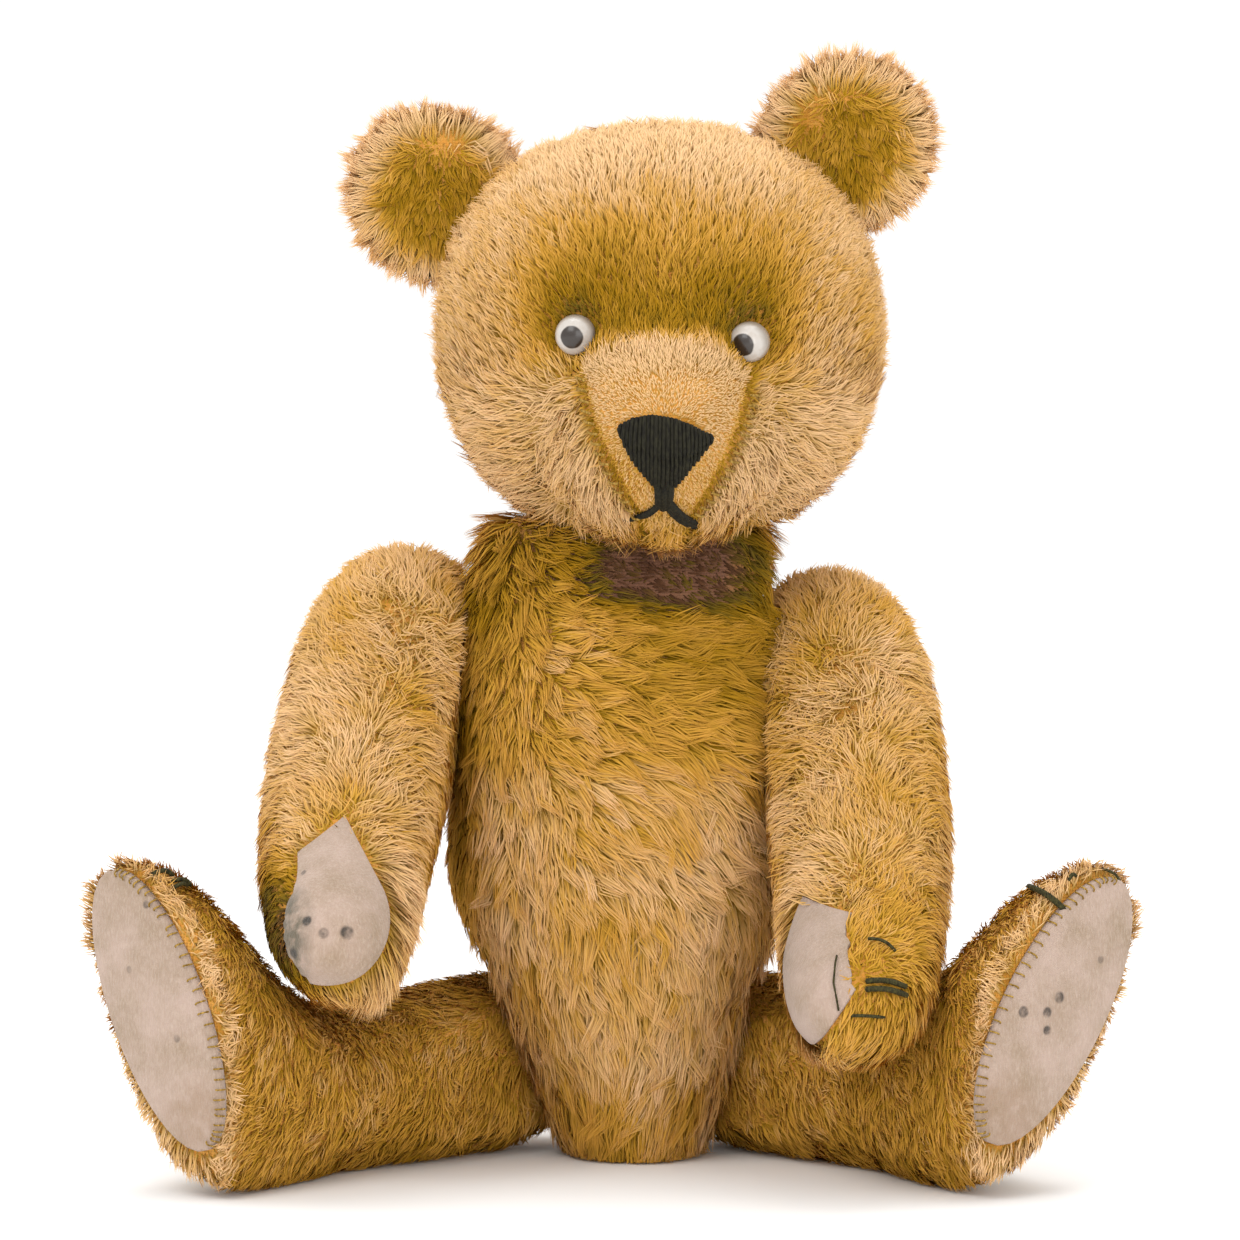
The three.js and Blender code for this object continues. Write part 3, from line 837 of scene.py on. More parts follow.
def comb(roots, normals, coat, phase, steps):
    """Hairs as paths. With u from 0 to 1 along a hair, it goes cos(lift)*u + sin(lift)*u^2/3
    along the way it lies and sin(lift)*(u - u^2/3) off the skin, and a wave of the coat's curl
    swings it from side to side, wider towards the tip."""
    u = np.linspace(0, 1, steps)[None, :, None]
    lie = unit(coat["flow"] - dot(coat["flow"], normals) * normals)
    side = np.cross(normals, lie)
    lift = coat["lift"][:, None, None]
    turn = 2 * np.pi * coat["turns"][:, None, None] * u + phase[:, None, None]
    curl = coat["curl"][:, None, None] * np.sqrt(u)
    run = np.cos(lift) * u + np.sin(lift) * u**2 / 3
    rise = np.sin(lift) * (u - u**2 / 3)
    path = (run * lie[:, None] + (rise + 0.5 * curl * np.cos(turn)) * normals[:, None]
            + curl * np.sin(turn) * side[:, None])
    path -= path[:, :1]
    return roots[:, None] + coat["length"][:, None, None] * path


def sample(skin, coat_of, per_square, most, rng):
    """Roots spread over a skin: each triangle gets hairs by its area times the coat's share,
    in even steps, each at a random place in its triangle."""
    points, triangles, normals = skin
    corners = points[triangles]
    spread = np.cross(corners[:, 1] - corners[:, 0], corners[:, 2] - corners[:, 0])
    area = np.linalg.norm(spread, axis=1) / 2
    wanted = area * coat_of(corners.mean(1), unit(normals[triangles].sum(1)))["share"] * per_square
    count = int(min(wanted.sum(), most))
    pick = np.searchsorted(np.cumsum(wanted) / wanted.sum(), (np.arange(count) + rng.random(count)) / count)
    pick = np.minimum(pick, len(triangles) - 1)
    a, b = rng.random((2, count, 1))
    folded = a + b > 1
    a, b = np.where(folded, 1 - a, a), np.where(folded, 1 - b, b)
    weights = np.stack([1 - a - b, a, b], 1)
    return (corners[pick] * weights).sum(1), unit((normals[triangles[pick]] * weights).sum(1))


def shaken(coat, rng, spread):
    """A coat's values for single hairs, each a little off the ones given."""
    count = len(coat["length"])
    coat = dict(coat)
    coat["flow"] = coat["flow"] + rng.normal(0, spread, (count, 3))
    coat["length"] = coat["length"] * rng.uniform(0.72, 1.15, count)
    coat["lift"] = np.clip(coat["lift"] + rng.normal(0, 0.16, count), 0.05, 1.5)
    return coat


def nearest(points, centres):
    """The number of the nearest centre to each point, worked out in slices."""
    found = np.zeros(len(points), int)
    size = (centres**2).sum(1)
    for start in range(0, len(points), 2000):
        part = points[start:start + 2000]
        found[start:start + 2000] = (size - 2 * part @ centres.T).argmin(1)
    return found


def grow(name, skin, coat_of, per_square, most, lock, seed, bends=2):
    """A pile of flat tapering hairs, each a strip of bends pairs of points and a pointed end.
    Every hair leans towards its lock's own hair, by the coat's clump times u^1.2, so that the
    tips mat together; lock is how many hairs share one. The pile shades as the skin does under
    it, with a quarter of each hair's own turn."""
    look = bpy.context.scene.bear_pile
    rng = np.random.default_rng(seed)
    roots, normals = sample(skin, coat_of, per_square, most // (2 * bends - 1), rng)
    count, steps, size = len(roots), bends + 1, 2 * bends + 1
    coat = coat_of(roots, normals)
    hairs = comb(roots, normals, shaken(coat, rng, 0.22), rng.uniform(0, 6.28, count), steps)
    leaders = rng.permutation(count)[:max(count // lock, 1)]
    lead_coat = shaken({key: value[leaders] for key, value in coat.items()}, rng, 0.25)
    lead = comb(roots[leaders], normals[leaders], lead_coat, rng.uniform(0, 6.28, len(leaders)), steps)
    own = nearest(roots.astype(np.float32), roots[leaders].astype(np.float32))
    u = np.linspace(0, 1, steps)[None, :, None]
    pull = coat["clump"][:, None, None] * u**1.2
    hairs = hairs * (1 - pull) + lead[own] * pull
    along = unit(np.gradient(hairs, axis=1))
    roll = rng.normal(0, 0.5, count)[:, None, None]
    flat_way = unit(np.cross(along, normals[:, None]))
    across = flat_way * np.cos(roll) + np.cross(along, flat_way) * np.sin(roll)
    half = look.width / MM / 2 * coat["width"][:, None, None]
    left, right = hairs[:, :bends] - across[:, :bends] * half, hairs[:, :bends] + across[:, :bends] * half
    body = np.concatenate([np.stack([left, right], 2).reshape(count, 2 * bends, 3), hairs[:, bends:]], 1)
    body[:, :, 2] = np.maximum(body[:, :, 2], 0.2)
    start = (np.arange(count) * size)[:, None]
    quads = np.concatenate([start + [2 * k, 2 * k + 1, 2 * k + 3, 2 * k + 2] for k in range(bends - 1)])
    tips = start + [size - 3, size - 2, size - 1]
    lock_hue = rng.normal(0, 0.04, len(leaders))[own]
    hue = np.clip(coat["hue"] + lock_hue + rng.normal(0, 0.025, count), 0.02, 0.98)
    flat = np.empty((count, size, 2))
    flat[:, :, 0] = np.append(np.repeat(np.arange(bends), 2), bends) / bends
    flat[:, :, 1] = hue[:, None] + np.append(np.tile([-1, 1], bends), 0) * 0.004
    pile = mesh_object(name, body.reshape(-1, 3), [quads, tips], flat.reshape(-1, 2))
    facing = np.cross(across, along)
    own_turn = np.concatenate([np.repeat(facing[:, :bends], 2, axis=1), facing[:, bends:]], 1)
    shading = unit(0.8 * normals[:, None] + 0.25 * own_turn)
    pile.data.normals_split_custom_set_from_vertices(shading.reshape(-1, 3))
    return pile


def coat(count, **values):
    """A coat's values as arrays, with the usual ones where none is given."""
    usual = {"share": 1.0, "length": 6.0, "lift": 0.5, "curl": 0.12, "turns": 1.0, "clump": 0.7,
             "hue": 0.75, "width": 1.0}
    made = {key: np.broadcast_to(values.get(key, value), count).astype(float)
            for key, value in usual.items()}
    made["flow"] = np.broadcast_to(values["flow"], (count, 3)).astype(float)
    return made


def bare_by_joint(p, n, names, outward, reach):
    """0 on the flat face round each named joint and 1 away from it; outward is 1 for the torso's
    side of the joint and -1 for the limb's."""
    keep = np.ones(len(p))
    for name in names:
        pivot, axis = pivot_of(name)
        depth = (p - pivot) @ axis * outward
        beside = np.linalg.norm((p - pivot) - ((p - pivot) @ axis)[:, None] * axis, axis=1)
        flat = ease(depth, -2.2, -1.2) * ease(n @ axis * outward, 0.75, 0.92)
        keep *= 1 - flat * (1 - ease(beside, reach - 4, reach))
    return keep


def torso_coat(p, n):
    """Matted pale locks: across the upper chest to the right, turning down below it; darker as painted
    shade along the sides beside the arms and low in front between the legs.
    """
    x, y, z = p.T
    front = ease(-n[:, 1], -0.1, 0.5)
    chest, middle = ease(z, 84, 132), ease(z, 58, 82)
    swing = np.radians(42 * middle + 40 * chest) * ease(x, -32, -10) * front
    swing += np.radians(22) * lattice_noise(p, 13, 31)
    flow = np.stack([np.sin(swing), -0.1 * np.ones_like(x), -np.cos(swing)], -1)
    worn = near(p, (-22, -36, 126), (22, 30, 24)) * front
    neck = ease(near(p, (17, -32, 150), (33, 26, 13)), 0.18, 0.75)
    shoulder = ease(z, 136, 150) * (1 - neck)
    # Painted shade: the pile darker along the torso's sides in front, in the crease beside the hanging arms
    painted_groove_shade = ease(np.abs(x - 3), 33, 41) * front * (1 - ease(z, 118, 130))
    blotch = lattice_noise(p, 11, 32)
    hue = 0.77 + 0.13 * blotch - 0.34 * chest * front + 0.2 * worn - 0.3 * painted_groove_shade
    # Painted shade: the pile darker low in front, between the legs
    hue -= 0.25 * near(p, (5, -40, 8), (26, 30, 14))
    hue = hue * (1 - neck) + (0.06 + 0.04 * blotch) * neck
    length = (11.5 - 3.5 * worn - 1.5 * (1 - front)) * (1 - neck) + 2.4 * neck
    length *= 1 - 0.45 * ease(np.abs(x - 3), 34, 42) * (1 - front * 0.4)
    share = bare_by_joint(p, n, [f"shoulder_{s}" for s in SIDES], 1, 24)
    share *= bare_by_joint(p, n, [f"hip_{s}" for s in SIDES], 1, 24) * (1 - 0.45 * neck)
    share = np.where(z > NECK[2] - 0.8, 0, share) * np.where(n[:, 2] < -0.9, 0.25, 1)
    return coat(len(p), share=share, length=length, flow=flow, lift=0.4 + 0.2 * worn + 0.1 * shoulder,
                curl=0.09 + 0.12 * worn, clump=0.74 - 0.2 * neck, hue=hue, turns=1 + 0.8 * worn)


# The muzzle's seams: how far down the face, and how far out from the muzzle's middle there
SEAM_DOWN = [-44, -40, -33, -26, -18, -9, 2]
SEAM_HALF = [5.5, 6.8, 10.5, 14.0, 17.2, 19.6, 21.0]
MUZZLE_MIDDLE = 1.3


def head_coat(p, n):
    """Clipped velvety pile on the muzzle, short erect pile on the forehead, and long pale hairs
    fanning out from the muzzle over the cheeks; olive at the brow as painted shade under the forehead's
    pile, pale on the crown and its sides as painted light, and darker as painted shade at the chin and
    round the eyes."""
    local = p - HEAD_CENTRE
    x, y, z = local.T
    front = ease(-n[:, 1], -0.25, 0.35)
    beyond_seam = np.abs(x - MUZZLE_MIDDLE) - np.interp(z, SEAM_DOWN, SEAM_HALF)
    muzzle = 1 - ease(beyond_seam, -1.0, 1.2)
    muzzle *= (1 - ease(z + 0.016 * x * x, -4, 1.5)) * (y < -30) * ease(z, -45, -39)
    crown = ease(z + 0.006 * x * x, -9, 3) * front
    cheek = front * (1 - muzzle) * (1 - crown)
    away = unit(np.stack([x, 0 * x, z + MUZZLE_DROP - 4], -1))
    away += np.stack([0 * x, 0.9 * ease(np.abs(x), 28, 50), -0.25 * cheek], -1)
    over_top = unit(np.stack([0.4 * x, z + 8, -y], -1))
    share = np.maximum(crown, 1 - front)[:, None]
    flow = away * (1 - share) + over_top * share
    flow += 0.25 * stray(p, 9, 40)
    chin = ease(-z, 38, 48) * front
    seam = bell(beyond_seam, 1.5, 4.5)
    length = 1.1 * muzzle + 5.4 * crown + (9.2 - 1.6 * chin - 3.5 * seam) * cheek + 8 * (1 - front)
    length *= 1 + 0.12 * lattice_noise(p, 6, 44)
    blotch = lattice_noise(p, 12, 45)
    # Painted shade and light: olive at the brow, under the overhanging forehead pile, rising to pale peach
    # as painted light on the top of the crown, and paler towards the sides as painted light on the head's
    # edges
    hue = np.interp(z, [-6, 2, 9, 26, 44], [0.44, 0.38, 0.38, 0.64, 1.0])
    hue += (0.86 - hue) * 0.8 * ease(np.abs(x), 20, 40)
    pits = bell(beyond_seam, 0.3, 1.1)
    pits *= (y < -30) * ease(-z, 4, 10)
    ribs = 0.95 - 0.2 * ease(-z, 12, 30) + 0.04 * np.sin(x * 3.6)
    # Painted shade: the cheek pile darker low on the chin
    hue = hue * crown + (0.88 - 0.32 * chin) * cheek + ribs * muzzle
    hue += 0.8 * (1 - front) * (1 - crown) + 0.08 * blotch - 0.45 * pits
    length *= 1 - 0.6 * pits
    from_neck = np.hypot(p[:, 0] - NECK[0], p[:, 1] - NECK[1])
    share = np.where((p[:, 2] < NECK[2] + 1.5) & (from_neck < NECK_CUP - 1.5), 0, 1.0)
    share *= 1 + 2.2 * muzzle + 0.7 * crown
    for side in SIDES:
        reach = np.linalg.norm((p - eye_ball(side)[0])[:, [0, 2]], axis=1)
        below = (y < 0) * (1 - crown) * (1 - ease(reach, 5, 9))
        share *= np.where((y < 0) & (reach < 3.9), 0, 1)
        length = np.maximum(length * (1 - 0.45 * (y < 0) * (1 - ease(reach, 4.5, 9))), 3.2 * below)
        # Painted shade: the pile darker close round each eye
        hue -= 0.12 * (y < 0) * (1 - ease(reach, 6, 9))
    top, bottom = nose_edges(x)
    share *= 1 - ((z < top + 0.8) & (z > bottom - 0.8) & (x > -10.5) & (x < 12) & (y < -40))
    share *= 1 - ((np.abs(x - 0.6) < 1.2) & (z < -33) & (z > -38.5) & (y < -40))
    return coat(len(p), share=share, length=np.maximum(length, 1.0), flow=flow,
                lift=0.55 + 0.5 * crown + 0.3 * muzzle, curl=0.06 + 0.06 * (1 - muzzle),
                clump=0.15 * muzzle + 0.42 * crown + 0.6 * cheek + 0.7 * (1 - front),
                hue=hue, width=1 - 0.35 * muzzle)


def ear_coat(side):
    """Short pile in the bowl of an ear, darker there as painted shade in the hollow, and pale spiky hairs
    standing out round its rim.
    """
    centre, tilt = np.array(EAR_CENTRE[side]), math.radians(EAR_TILT[side])
    worn_at = np.array(EAR_CENTRE[side]) + ((2.5, 0, 13) if side == "left" else (-8, 0, 7))

    def values(p, n):
        local = p - centre
        x = (local[:, 0] * math.cos(tilt) + local[:, 2] * math.sin(tilt)) / EAR_HALF[0]
        z = (-local[:, 0] * math.sin(tilt) + local[:, 2] * math.cos(tilt)) / EAR_HALF[2]
        rim = ease(np.hypot(x, z), 0.5, 0.8)
        bowl = (1 - rim) * ease(-n[:, 1], 0, 0.5)
        flow = unit(np.stack([local[:, 0], 0 * x, local[:, 2]], -1)) + 0.3 * stray(p, 7, 60)
        flow = flow * (rim + 0.3)[:, None] + np.array([0, 0, -1.0]) * (0.9 * (1 - rim))[:, None]
        low = ease(-local[:, 2], -6, 12)
        # Painted shade: the bowl's hue is darker, for the shade in the ear's hollow
        hue = 0.97 * rim + 0.43 * bowl + 0.78 * (1 - rim - bowl) - 0.1 * low * rim
        worn = near(p[:, [0, 2]], worn_at[[0, 2]], (5, 5)) * (n[:, 1] < 0)
        return coat(len(p), share=1 - 0.85 * worn, length=4.2 + 3.6 * rim - 2 * worn, flow=flow,
                    lift=0.5, curl=0.12, clump=0.7, hue=hue + 0.07 * lattice_noise(p, 6, 66))

    return values


def arm_coat(side, edge):
    """Woolly curls down an arm, worn short and dark by the paw's outer edge, with a pale fringe
    along its lower inner side and at its tip, and paler where it faces up as painted light; none under the
    pad or the felt."""
    place, palm = arm_place(side), palm_place(side)
    inner = 1 if side == "left" else -1

    def values(p, n):
        local = place.into(p)
        out, _, along = local.T
        down = along / (ARM_STRETCH[side] * ARM_LENGTH)
        flat = palm.into(p)[:, :2] - PAD_SHIFT[side]
        turned = np.arctan2(flat[:, 0], flat[:, 1]) % (2 * np.pi) * PAD_STEPS / (2 * np.pi)
        reach = np.interp(turned, np.arange(PAD_STEPS + 1), np.append(edge, edge[0]))
        covered = (np.hypot(flat[:, 0], flat[:, 1]) < reach) & (palm.turn(n)[:, 2] > 0.1)
        top = ease(n[:, 2], 0.1, 0.7)
        flow = 0.3 * place.axes[2] + np.stack([0 * out, 0.9 * top, -0.7 * (1 - top)], -1)
        flow = flow + 0.4 * stray(p, 8, 70)
        fringe = ease(inner * n[:, 0], 0.15, 0.7) * ease(down, 0.55, 0.75)
        tip = ease(down, 0.84, 0.95)
        flow = flow + np.array([0.5 * inner, -0.25, -0.6]) * (fringe + 0.6 * tip)[:, None]
        blotch = lattice_noise(p, 13, 75)
        # Painted light: the pile paler where the arm faces up
        hue = 0.71 + 0.12 * blotch + 0.08 * top
        length = 7.2 + 3.6 * fringe + 0.4 * tip
        if side == "left":
            stain = ease(near(p, (-87, -84, 66), (15, 28, 21)), 0.15, 0.6)
            hue -= 0.5 * stain
            length -= 4.2 * stain
        else:
            worn = near(p, (60, -88, 55), (13, 22, 13))
            hue -= 0.25 * worn
            length -= 3.4 * worn
        hidden = ease(-out, -5.0, -1.5)
        share = bare_by_joint(p, n, [f"shoulder_{side}"], -1, 26) * ~covered
        return coat(len(p), share=share, length=length * (1 - 0.5 * hidden), flow=flow, lift=0.52,
                    curl=0.09, turns=1.0, clump=0.42, hue=hue + 0.1 * fringe)

    return values


def leg_coat(side):
    """Short curls down a leg, and a thin pale fringe standing out round the felt of the sole; darker as
    painted shade underneath and where the leg meets the torso.
    """
    leg, sole = leg_place(side), sole_place(side)

    def values(p, n):
        local = leg.into(p)
        foot = sole.into(p)
        edge = np.hypot(foot[:, 0] / SOLE_HALF[0], foot[:, 1] / SOLE_HALF[1])
        rim = ease(foot[:, 2], -11, -5)
        face = (foot[:, 2] > -3.2) & (edge < 0.99)
        fan = sole.axes[0] * (foot[:, :1] / SOLE_HALF[0]) + sole.axes[1] * (foot[:, 1:2] / SOLE_HALF[1])
        flow = 0.45 * leg.axes[2] + np.array([0, 0, -0.5]) * (1 - rim)[:, None]
        flow = flow + fan * (0.7 * rim)[:, None]
        flow = flow + 0.45 * stray(p, 7, 80)
        blotch = lattice_noise(p, 12, 85)
        # Painted shade: the pile darker where the leg faces down
        hue = 0.63 + 0.1 * blotch + 0.26 * rim - 0.1 * ease(-n[:, 2], 0.2, 0.8)
        # Painted shade: the pile darker at the top of the leg, where it meets the torso
        hue -= 0.12 * np.exp(-(local[:, 2] / 22) ** 2) * ease(p[:, 2], 30, 45)
        toe = rim * ease(foot[:, 1], 16, 30)
        length = 5.8 - 0.8 * rim + 0.6 * toe
        share = bare_by_joint(p, n, [f"hip_{side}"], -1, 15) * ~face * np.where(n[:, 2] < -0.8, 0.35, 1)
        return coat(len(p), share=share, length=length, flow=flow, lift=0.4, curl=0.1,
                    clump=0.42, hue=hue)

    return values


# ---------------------------------------------------------------- felt, thread and glass


def felt_piece(name, edge, base, rows=26, around=PAD_STEPS):
    """A closed thin felt: a flat back, and a front that swells by (1 - r^2) of its crown and
    rounds off over its last two rings. edge gives the outline's distance at each angle, and
    base places flat points and gives their normals."""
    angle = np.arange(around) * 2 * np.pi / around
    front = np.sin(np.linspace(0, 1, rows) * np.pi / 2)
    r = np.concatenate([front, front[-2::-1]])
    high = np.where(np.arange(len(r)) < rows, FELT * 0.5 + 0.9 * (1 - r**2), -FELT * 0.5)
    high[rows - 1] = 0.1
    high[rows - 2] = FELT * 0.4
    flat = r[:, None, None] * np.stack([edge(angle) * np.sin(angle), edge(angle) * np.cos(angle)], -1)
    points, normals = base(flat.reshape(-1, 2))
    rings = points.reshape(*flat.shape[:2], 3) + normals.reshape(*flat.shape[:2], 3) * high[:, None, None]
    return closed_object(name, rings[0, 0], rings[1:-1], rings[-1, 0])


def seated(skin, place, flat, height, home=None):
    """Paths of shape (threads, steps, 2) laid on a skin and lifted off it by height. Where a
    home is given, threads that overhang the skin slide towards it in steps of a twenty-fifth."""
    flat = np.array(flat, float)
    if home is not None:
        for _ in range(25):
            hit = over(skin, place, flat.reshape(-1, 2))[2].reshape(flat.shape[:2]).all(axis=1)
            flat += (np.asarray(home) - flat) * np.where(hit, 0, 0.04)[:, None, None]
    points, normals = drape(skin, place, flat.reshape(-1, 2))
    lifted = points + normals * np.broadcast_to(height, flat.shape[:2]).reshape(-1, 1)
    return lifted.reshape(*flat.shape[:2], 3)


def pad_edge(skin, place, shift):
    """The distance of a pad's outline from its middle at each angle, drawn in where the paw is
    narrower than the pad: of PAD_TRIES steps out to the outline, the last one where the paw's
    skin is turned less than PAD_TURN away from the palm."""
    side_from = math.acos(1 / PAD_POINT)
    angle = np.arange(PAD_STEPS) * 2 * np.pi / PAD_STEPS
    turned = np.abs(np.arctan2(np.sin(angle), np.cos(angle)))
    full = PAD_HALF / np.cos(np.maximum(side_from - turned, 0))
    steps = np.linspace(0.1, 1, PAD_TRIES)[:, None, None]
    flat = shift + steps * full[:, None] * np.stack([np.sin(angle), np.cos(angle)], -1)
    _, normals, hit = over(skin, place, flat.reshape(-1, 2))
    hit = (hit & (place.turn(normals)[:, 2] > math.cos(PAD_TURN))).reshape(PAD_TRIES, PAD_STEPS)
    inside = np.minimum.accumulate(hit, axis=0).sum(0) / PAD_TRIES
    inside = np.minimum(inside, np.minimum(np.roll(inside, 1), np.roll(inside, -1)))
    return full * np.where(inside < 1, inside * 0.94, 1)


def strokes(ends, steps=9, bow=0.0):
    """Threads from a list of end pairs, as even steps between them that bow out sideways by
    bow times their length."""
    ends = np.asarray(ends, float)
    u = np.linspace(0, 1, steps)[None, :, None]
    run = ends[:, 1] - ends[:, 0]
    aside = np.stack([-run[:, 1], run[:, 0]], -1)
    return ends[:, :1] + run[:, None] * u + aside[:, None] * bow * np.sin(np.pi * u)


def nose_edges(x):
    """The nose's upper and lower edges over the face, at x from the head's middle."""
    top = np.interp(x, [-9.8, -6.5, -2.4, 2.5, 6.5, 11.4], [-19.2, -17.2, -16.4, -17.2, -18.8, -21.6])
    bottom = np.interp(x, [-9.8, -7.6, -4.8, -2.0, 0.6, 2.4, 4.6, 8.2, 11.4],
                       [-19.2, -24.6, -29.0, -32.4, -34.0, -33.2, -31.0, -26.4, -21.6])
    return top, bottom


def finish(obj, body, material, slot, *nodes):
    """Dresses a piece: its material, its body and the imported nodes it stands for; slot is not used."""
    wear(obj, material)
    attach(obj, body)
    if nodes:
        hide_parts(*nodes)
    return obj


NOSE_THREADS = 24
SOLE_STITCHES = 34

# Darned claws: each stroke's two ends, across and up as seen from in front, and its radius
CLAWS = {
    "arm_right": [(59.4, -77.4, 65.2, -80.2, 0.4), (58.6, -86.9, 67.2, -88.0, 0.7),
                  (58.5, -88.6, 67.4, -89.9, 0.7), (55.3, -94.2, 62.4, -94.6, 0.4),
                  (52.4, -81.3, 51.6, -87.2, 0.25), (51.6, -87.2, 52.6, -93.2, 0.25)],
    "leg_left": [(-112.8, -59.6, -108.4, -60.4, 0.6), (-108.2, -60.2, -103.9, -61.6, 0.6),
                 (-107.9, -64.4, -105.2, -64.2, 0.5)],
    "leg_right": [(99.4, -63.4, 106.6, -67.8, 0.75), (99.9, -64.8, 106.2, -68.9, 0.7),
                  (107.6, -63.8, 109.6, -62.8, 0.5), (115.8, -61.0, 120.2, -64.0, 0.35)],
}

# Stitch holes and wear in the felt, from the middle of the felt: (x, y, radius, strength)
PAD_HOLES = [(-16.5, 3.2, 1.0, 0.9), (-14.6, 4.8, 0.9, 0.8), (-12.6, -6.6, 2.3, 1.0),
             (-8.0, -8.4, 1.2, 0.8), (-6.4, -0.8, 1.1, 0.9), (-2.4, -2.4, 1.1, 0.9),
             (2.4, -1.2, 1.4, 0.9), (-9.5, 9.0, 0.7, 0.6)]
SOLE_HOLES = {
    "left": [(-9.0, 24.0, 1.0, 0.7), (3.0, 12.0, 0.8, 0.5), (-4.0, -9.0, 0.9, 0.5)],
    "right": [(-1.7, 2.9, 1.3, 0.9), (-9.1, -5.5, 1.3, 0.9), (-2.9, -2.0, 1.2, 0.9), (-0.5, -5.6, 1.1, 0.9),
              (4.5, 17.0, 0.9, 0.6)],
}


# ---------------------------------------------------------------- operators


SKINS = {}


def body_of(name):
    """The body that a stuffed part rides on; the ears ride on the head."""
    return name if name in frame["bodies"] else "head"


def sew(name, rings, voxel, stay, slack=0.8, cap=2.2):
    obj = stuffed(f"{name}_skin", rings, voxel, slack, cap, stay)
    SKINS[name] = read_mesh(obj)
    finish(obj, body_of(name), bpy.data.materials["worn_backing"], "mohair_plush", name)


def cover(name, coat_of, per_square=HAIRS_TO_SQUARE):
    """Grows a part's pile on its skin."""
    pile = grow(f"{name}_pile", SKINS[name], coat_of, per_square, *PILES[name])
    finish(pile, body_of(name), bpy.data.materials["mohair_pile"], "mohair_plush")


class BEAR_OT_materials(bpy.types.Operator):
    """Makes the pile, backing, thread, board, steel and floor materials"""

    bl_idname = "bear.materials"
    bl_label = "Materials"

    def execute(self, context):
        look = context.scene.bear_thread
        pile_material()
        backing_material()
        thread_material("nose_thread", look.nose, look.nose_sheen, 0.8, 0.7)
        thread_material("claw_thread", look.claw, look.claw_sheen)
        thread_material("seam_thread", look.seam, look.seam_sheen, 0.85)
        board_material()
        steel_material()
        floor_material()
        return {"FINISHED"}


class BEAR_OT_torso(bpy.types.Operator):
    """Makes the stuffed torso with its matted pile and its stained neck"""

    bl_idname = "bear.torso"
    bl_label = "Torso"

    def execute(self, context):
        def stay(p, n):
            return ease(p[:, 2], 1, 8) * (1 - ease(p[:, 2], 150, 158)) * bare_by_joint(
                p, n, [f"{j}_{s}" for j in ("shoulder", "hip") for s in SIDES], 1, 34)

        sew("torso", torso_rings(), 3.6, stay)
        cover("torso", torso_coat)
        return {"FINISHED"}


class BEAR_OT_head(bpy.types.Operator):
    """Makes the stuffed head with its muzzle, eye sockets and pile"""

    bl_idname = "bear.head"
    bl_label = "Head"

    def execute(self, context):
        rings = head_rings()
        for side in SIDES:
            away = np.linalg.norm((rings - eye_ball(side)[0]) * np.array([1, 0.6, 1]), axis=-1)
            rings[..., 1] += SOCKET_DEPTH * bell(away, 0, SOCKET_REACH) * (rings[..., 1] < 0)

        def stay(p, n):
            return 1 - (1 - ease(p[:, 2], NECK[2] + 1, NECK[2] + 6)) * (
                np.hypot(p[:, 0] - NECK[0], p[:, 1] - NECK[1]) < NECK_CUP + 3)

        sew("head", rings, 3.2, stay, 0.6, 1.6)
        cover("head", head_coat, HEAD_HAIRS_TO_SQUARE)
        return {"FINISHED"}


class BEAR_OT_ears(bpy.types.Operator):
    """Makes both ears, bowled in front and ragged round the rim"""

    bl_idname = "bear.ears"
    bl_label = "Ears"

    def execute(self, context):
        for side in SIDES:
            sew(f"ear_{side}", ear_rings(side), 2.2, lambda p, n: np.ones(len(p)), 0.3, 0.6)
            cover(f"ear_{side}", ear_coat(side))
        return {"FINISHED"}


class BEAR_OT_arms(bpy.types.Operator):
    """Makes both arms and their woolly pile"""

    bl_idname = "bear.arms"
    bl_label = "Arms"

    def execute(self, context):
        for side in SIDES:
            name = f"arm_{side}"
            sew(name, arm_rings(side), 3.2,
                    lambda p, n: bare_by_joint(p, n, [f"shoulder_{side}"], -1, 40), 0.8, 1.8)
            edge = pad_edge(SKINS[name], palm_place(side), np.array(PAD_SHIFT[side]))
            cover(name, arm_coat(side, edge))
        return {"FINISHED"}


class BEAR_OT_legs(bpy.types.Operator):
    """Makes both legs and their short pile"""

    bl_idname = "bear.legs"
    bl_label = "Legs"

    def execute(self, context):
        for side in SIDES:
            name = f"leg_{side}"
            sole = sole_place(side)

            def stay(p, n):
                near_sole = ease(sole.into(p)[:, 2], -10, -4)
                off_hip = bare_by_joint(p, n, [f"hip_{side}"], -1, 40)
                return off_hip * (1 - near_sole) * ease(p[:, 2], 0.8, 5)

            sew(name, leg_rings(side), 3.4, stay, 0.8, 1.8)
            cover(name, leg_coat(side))
        return {"FINISHED"}


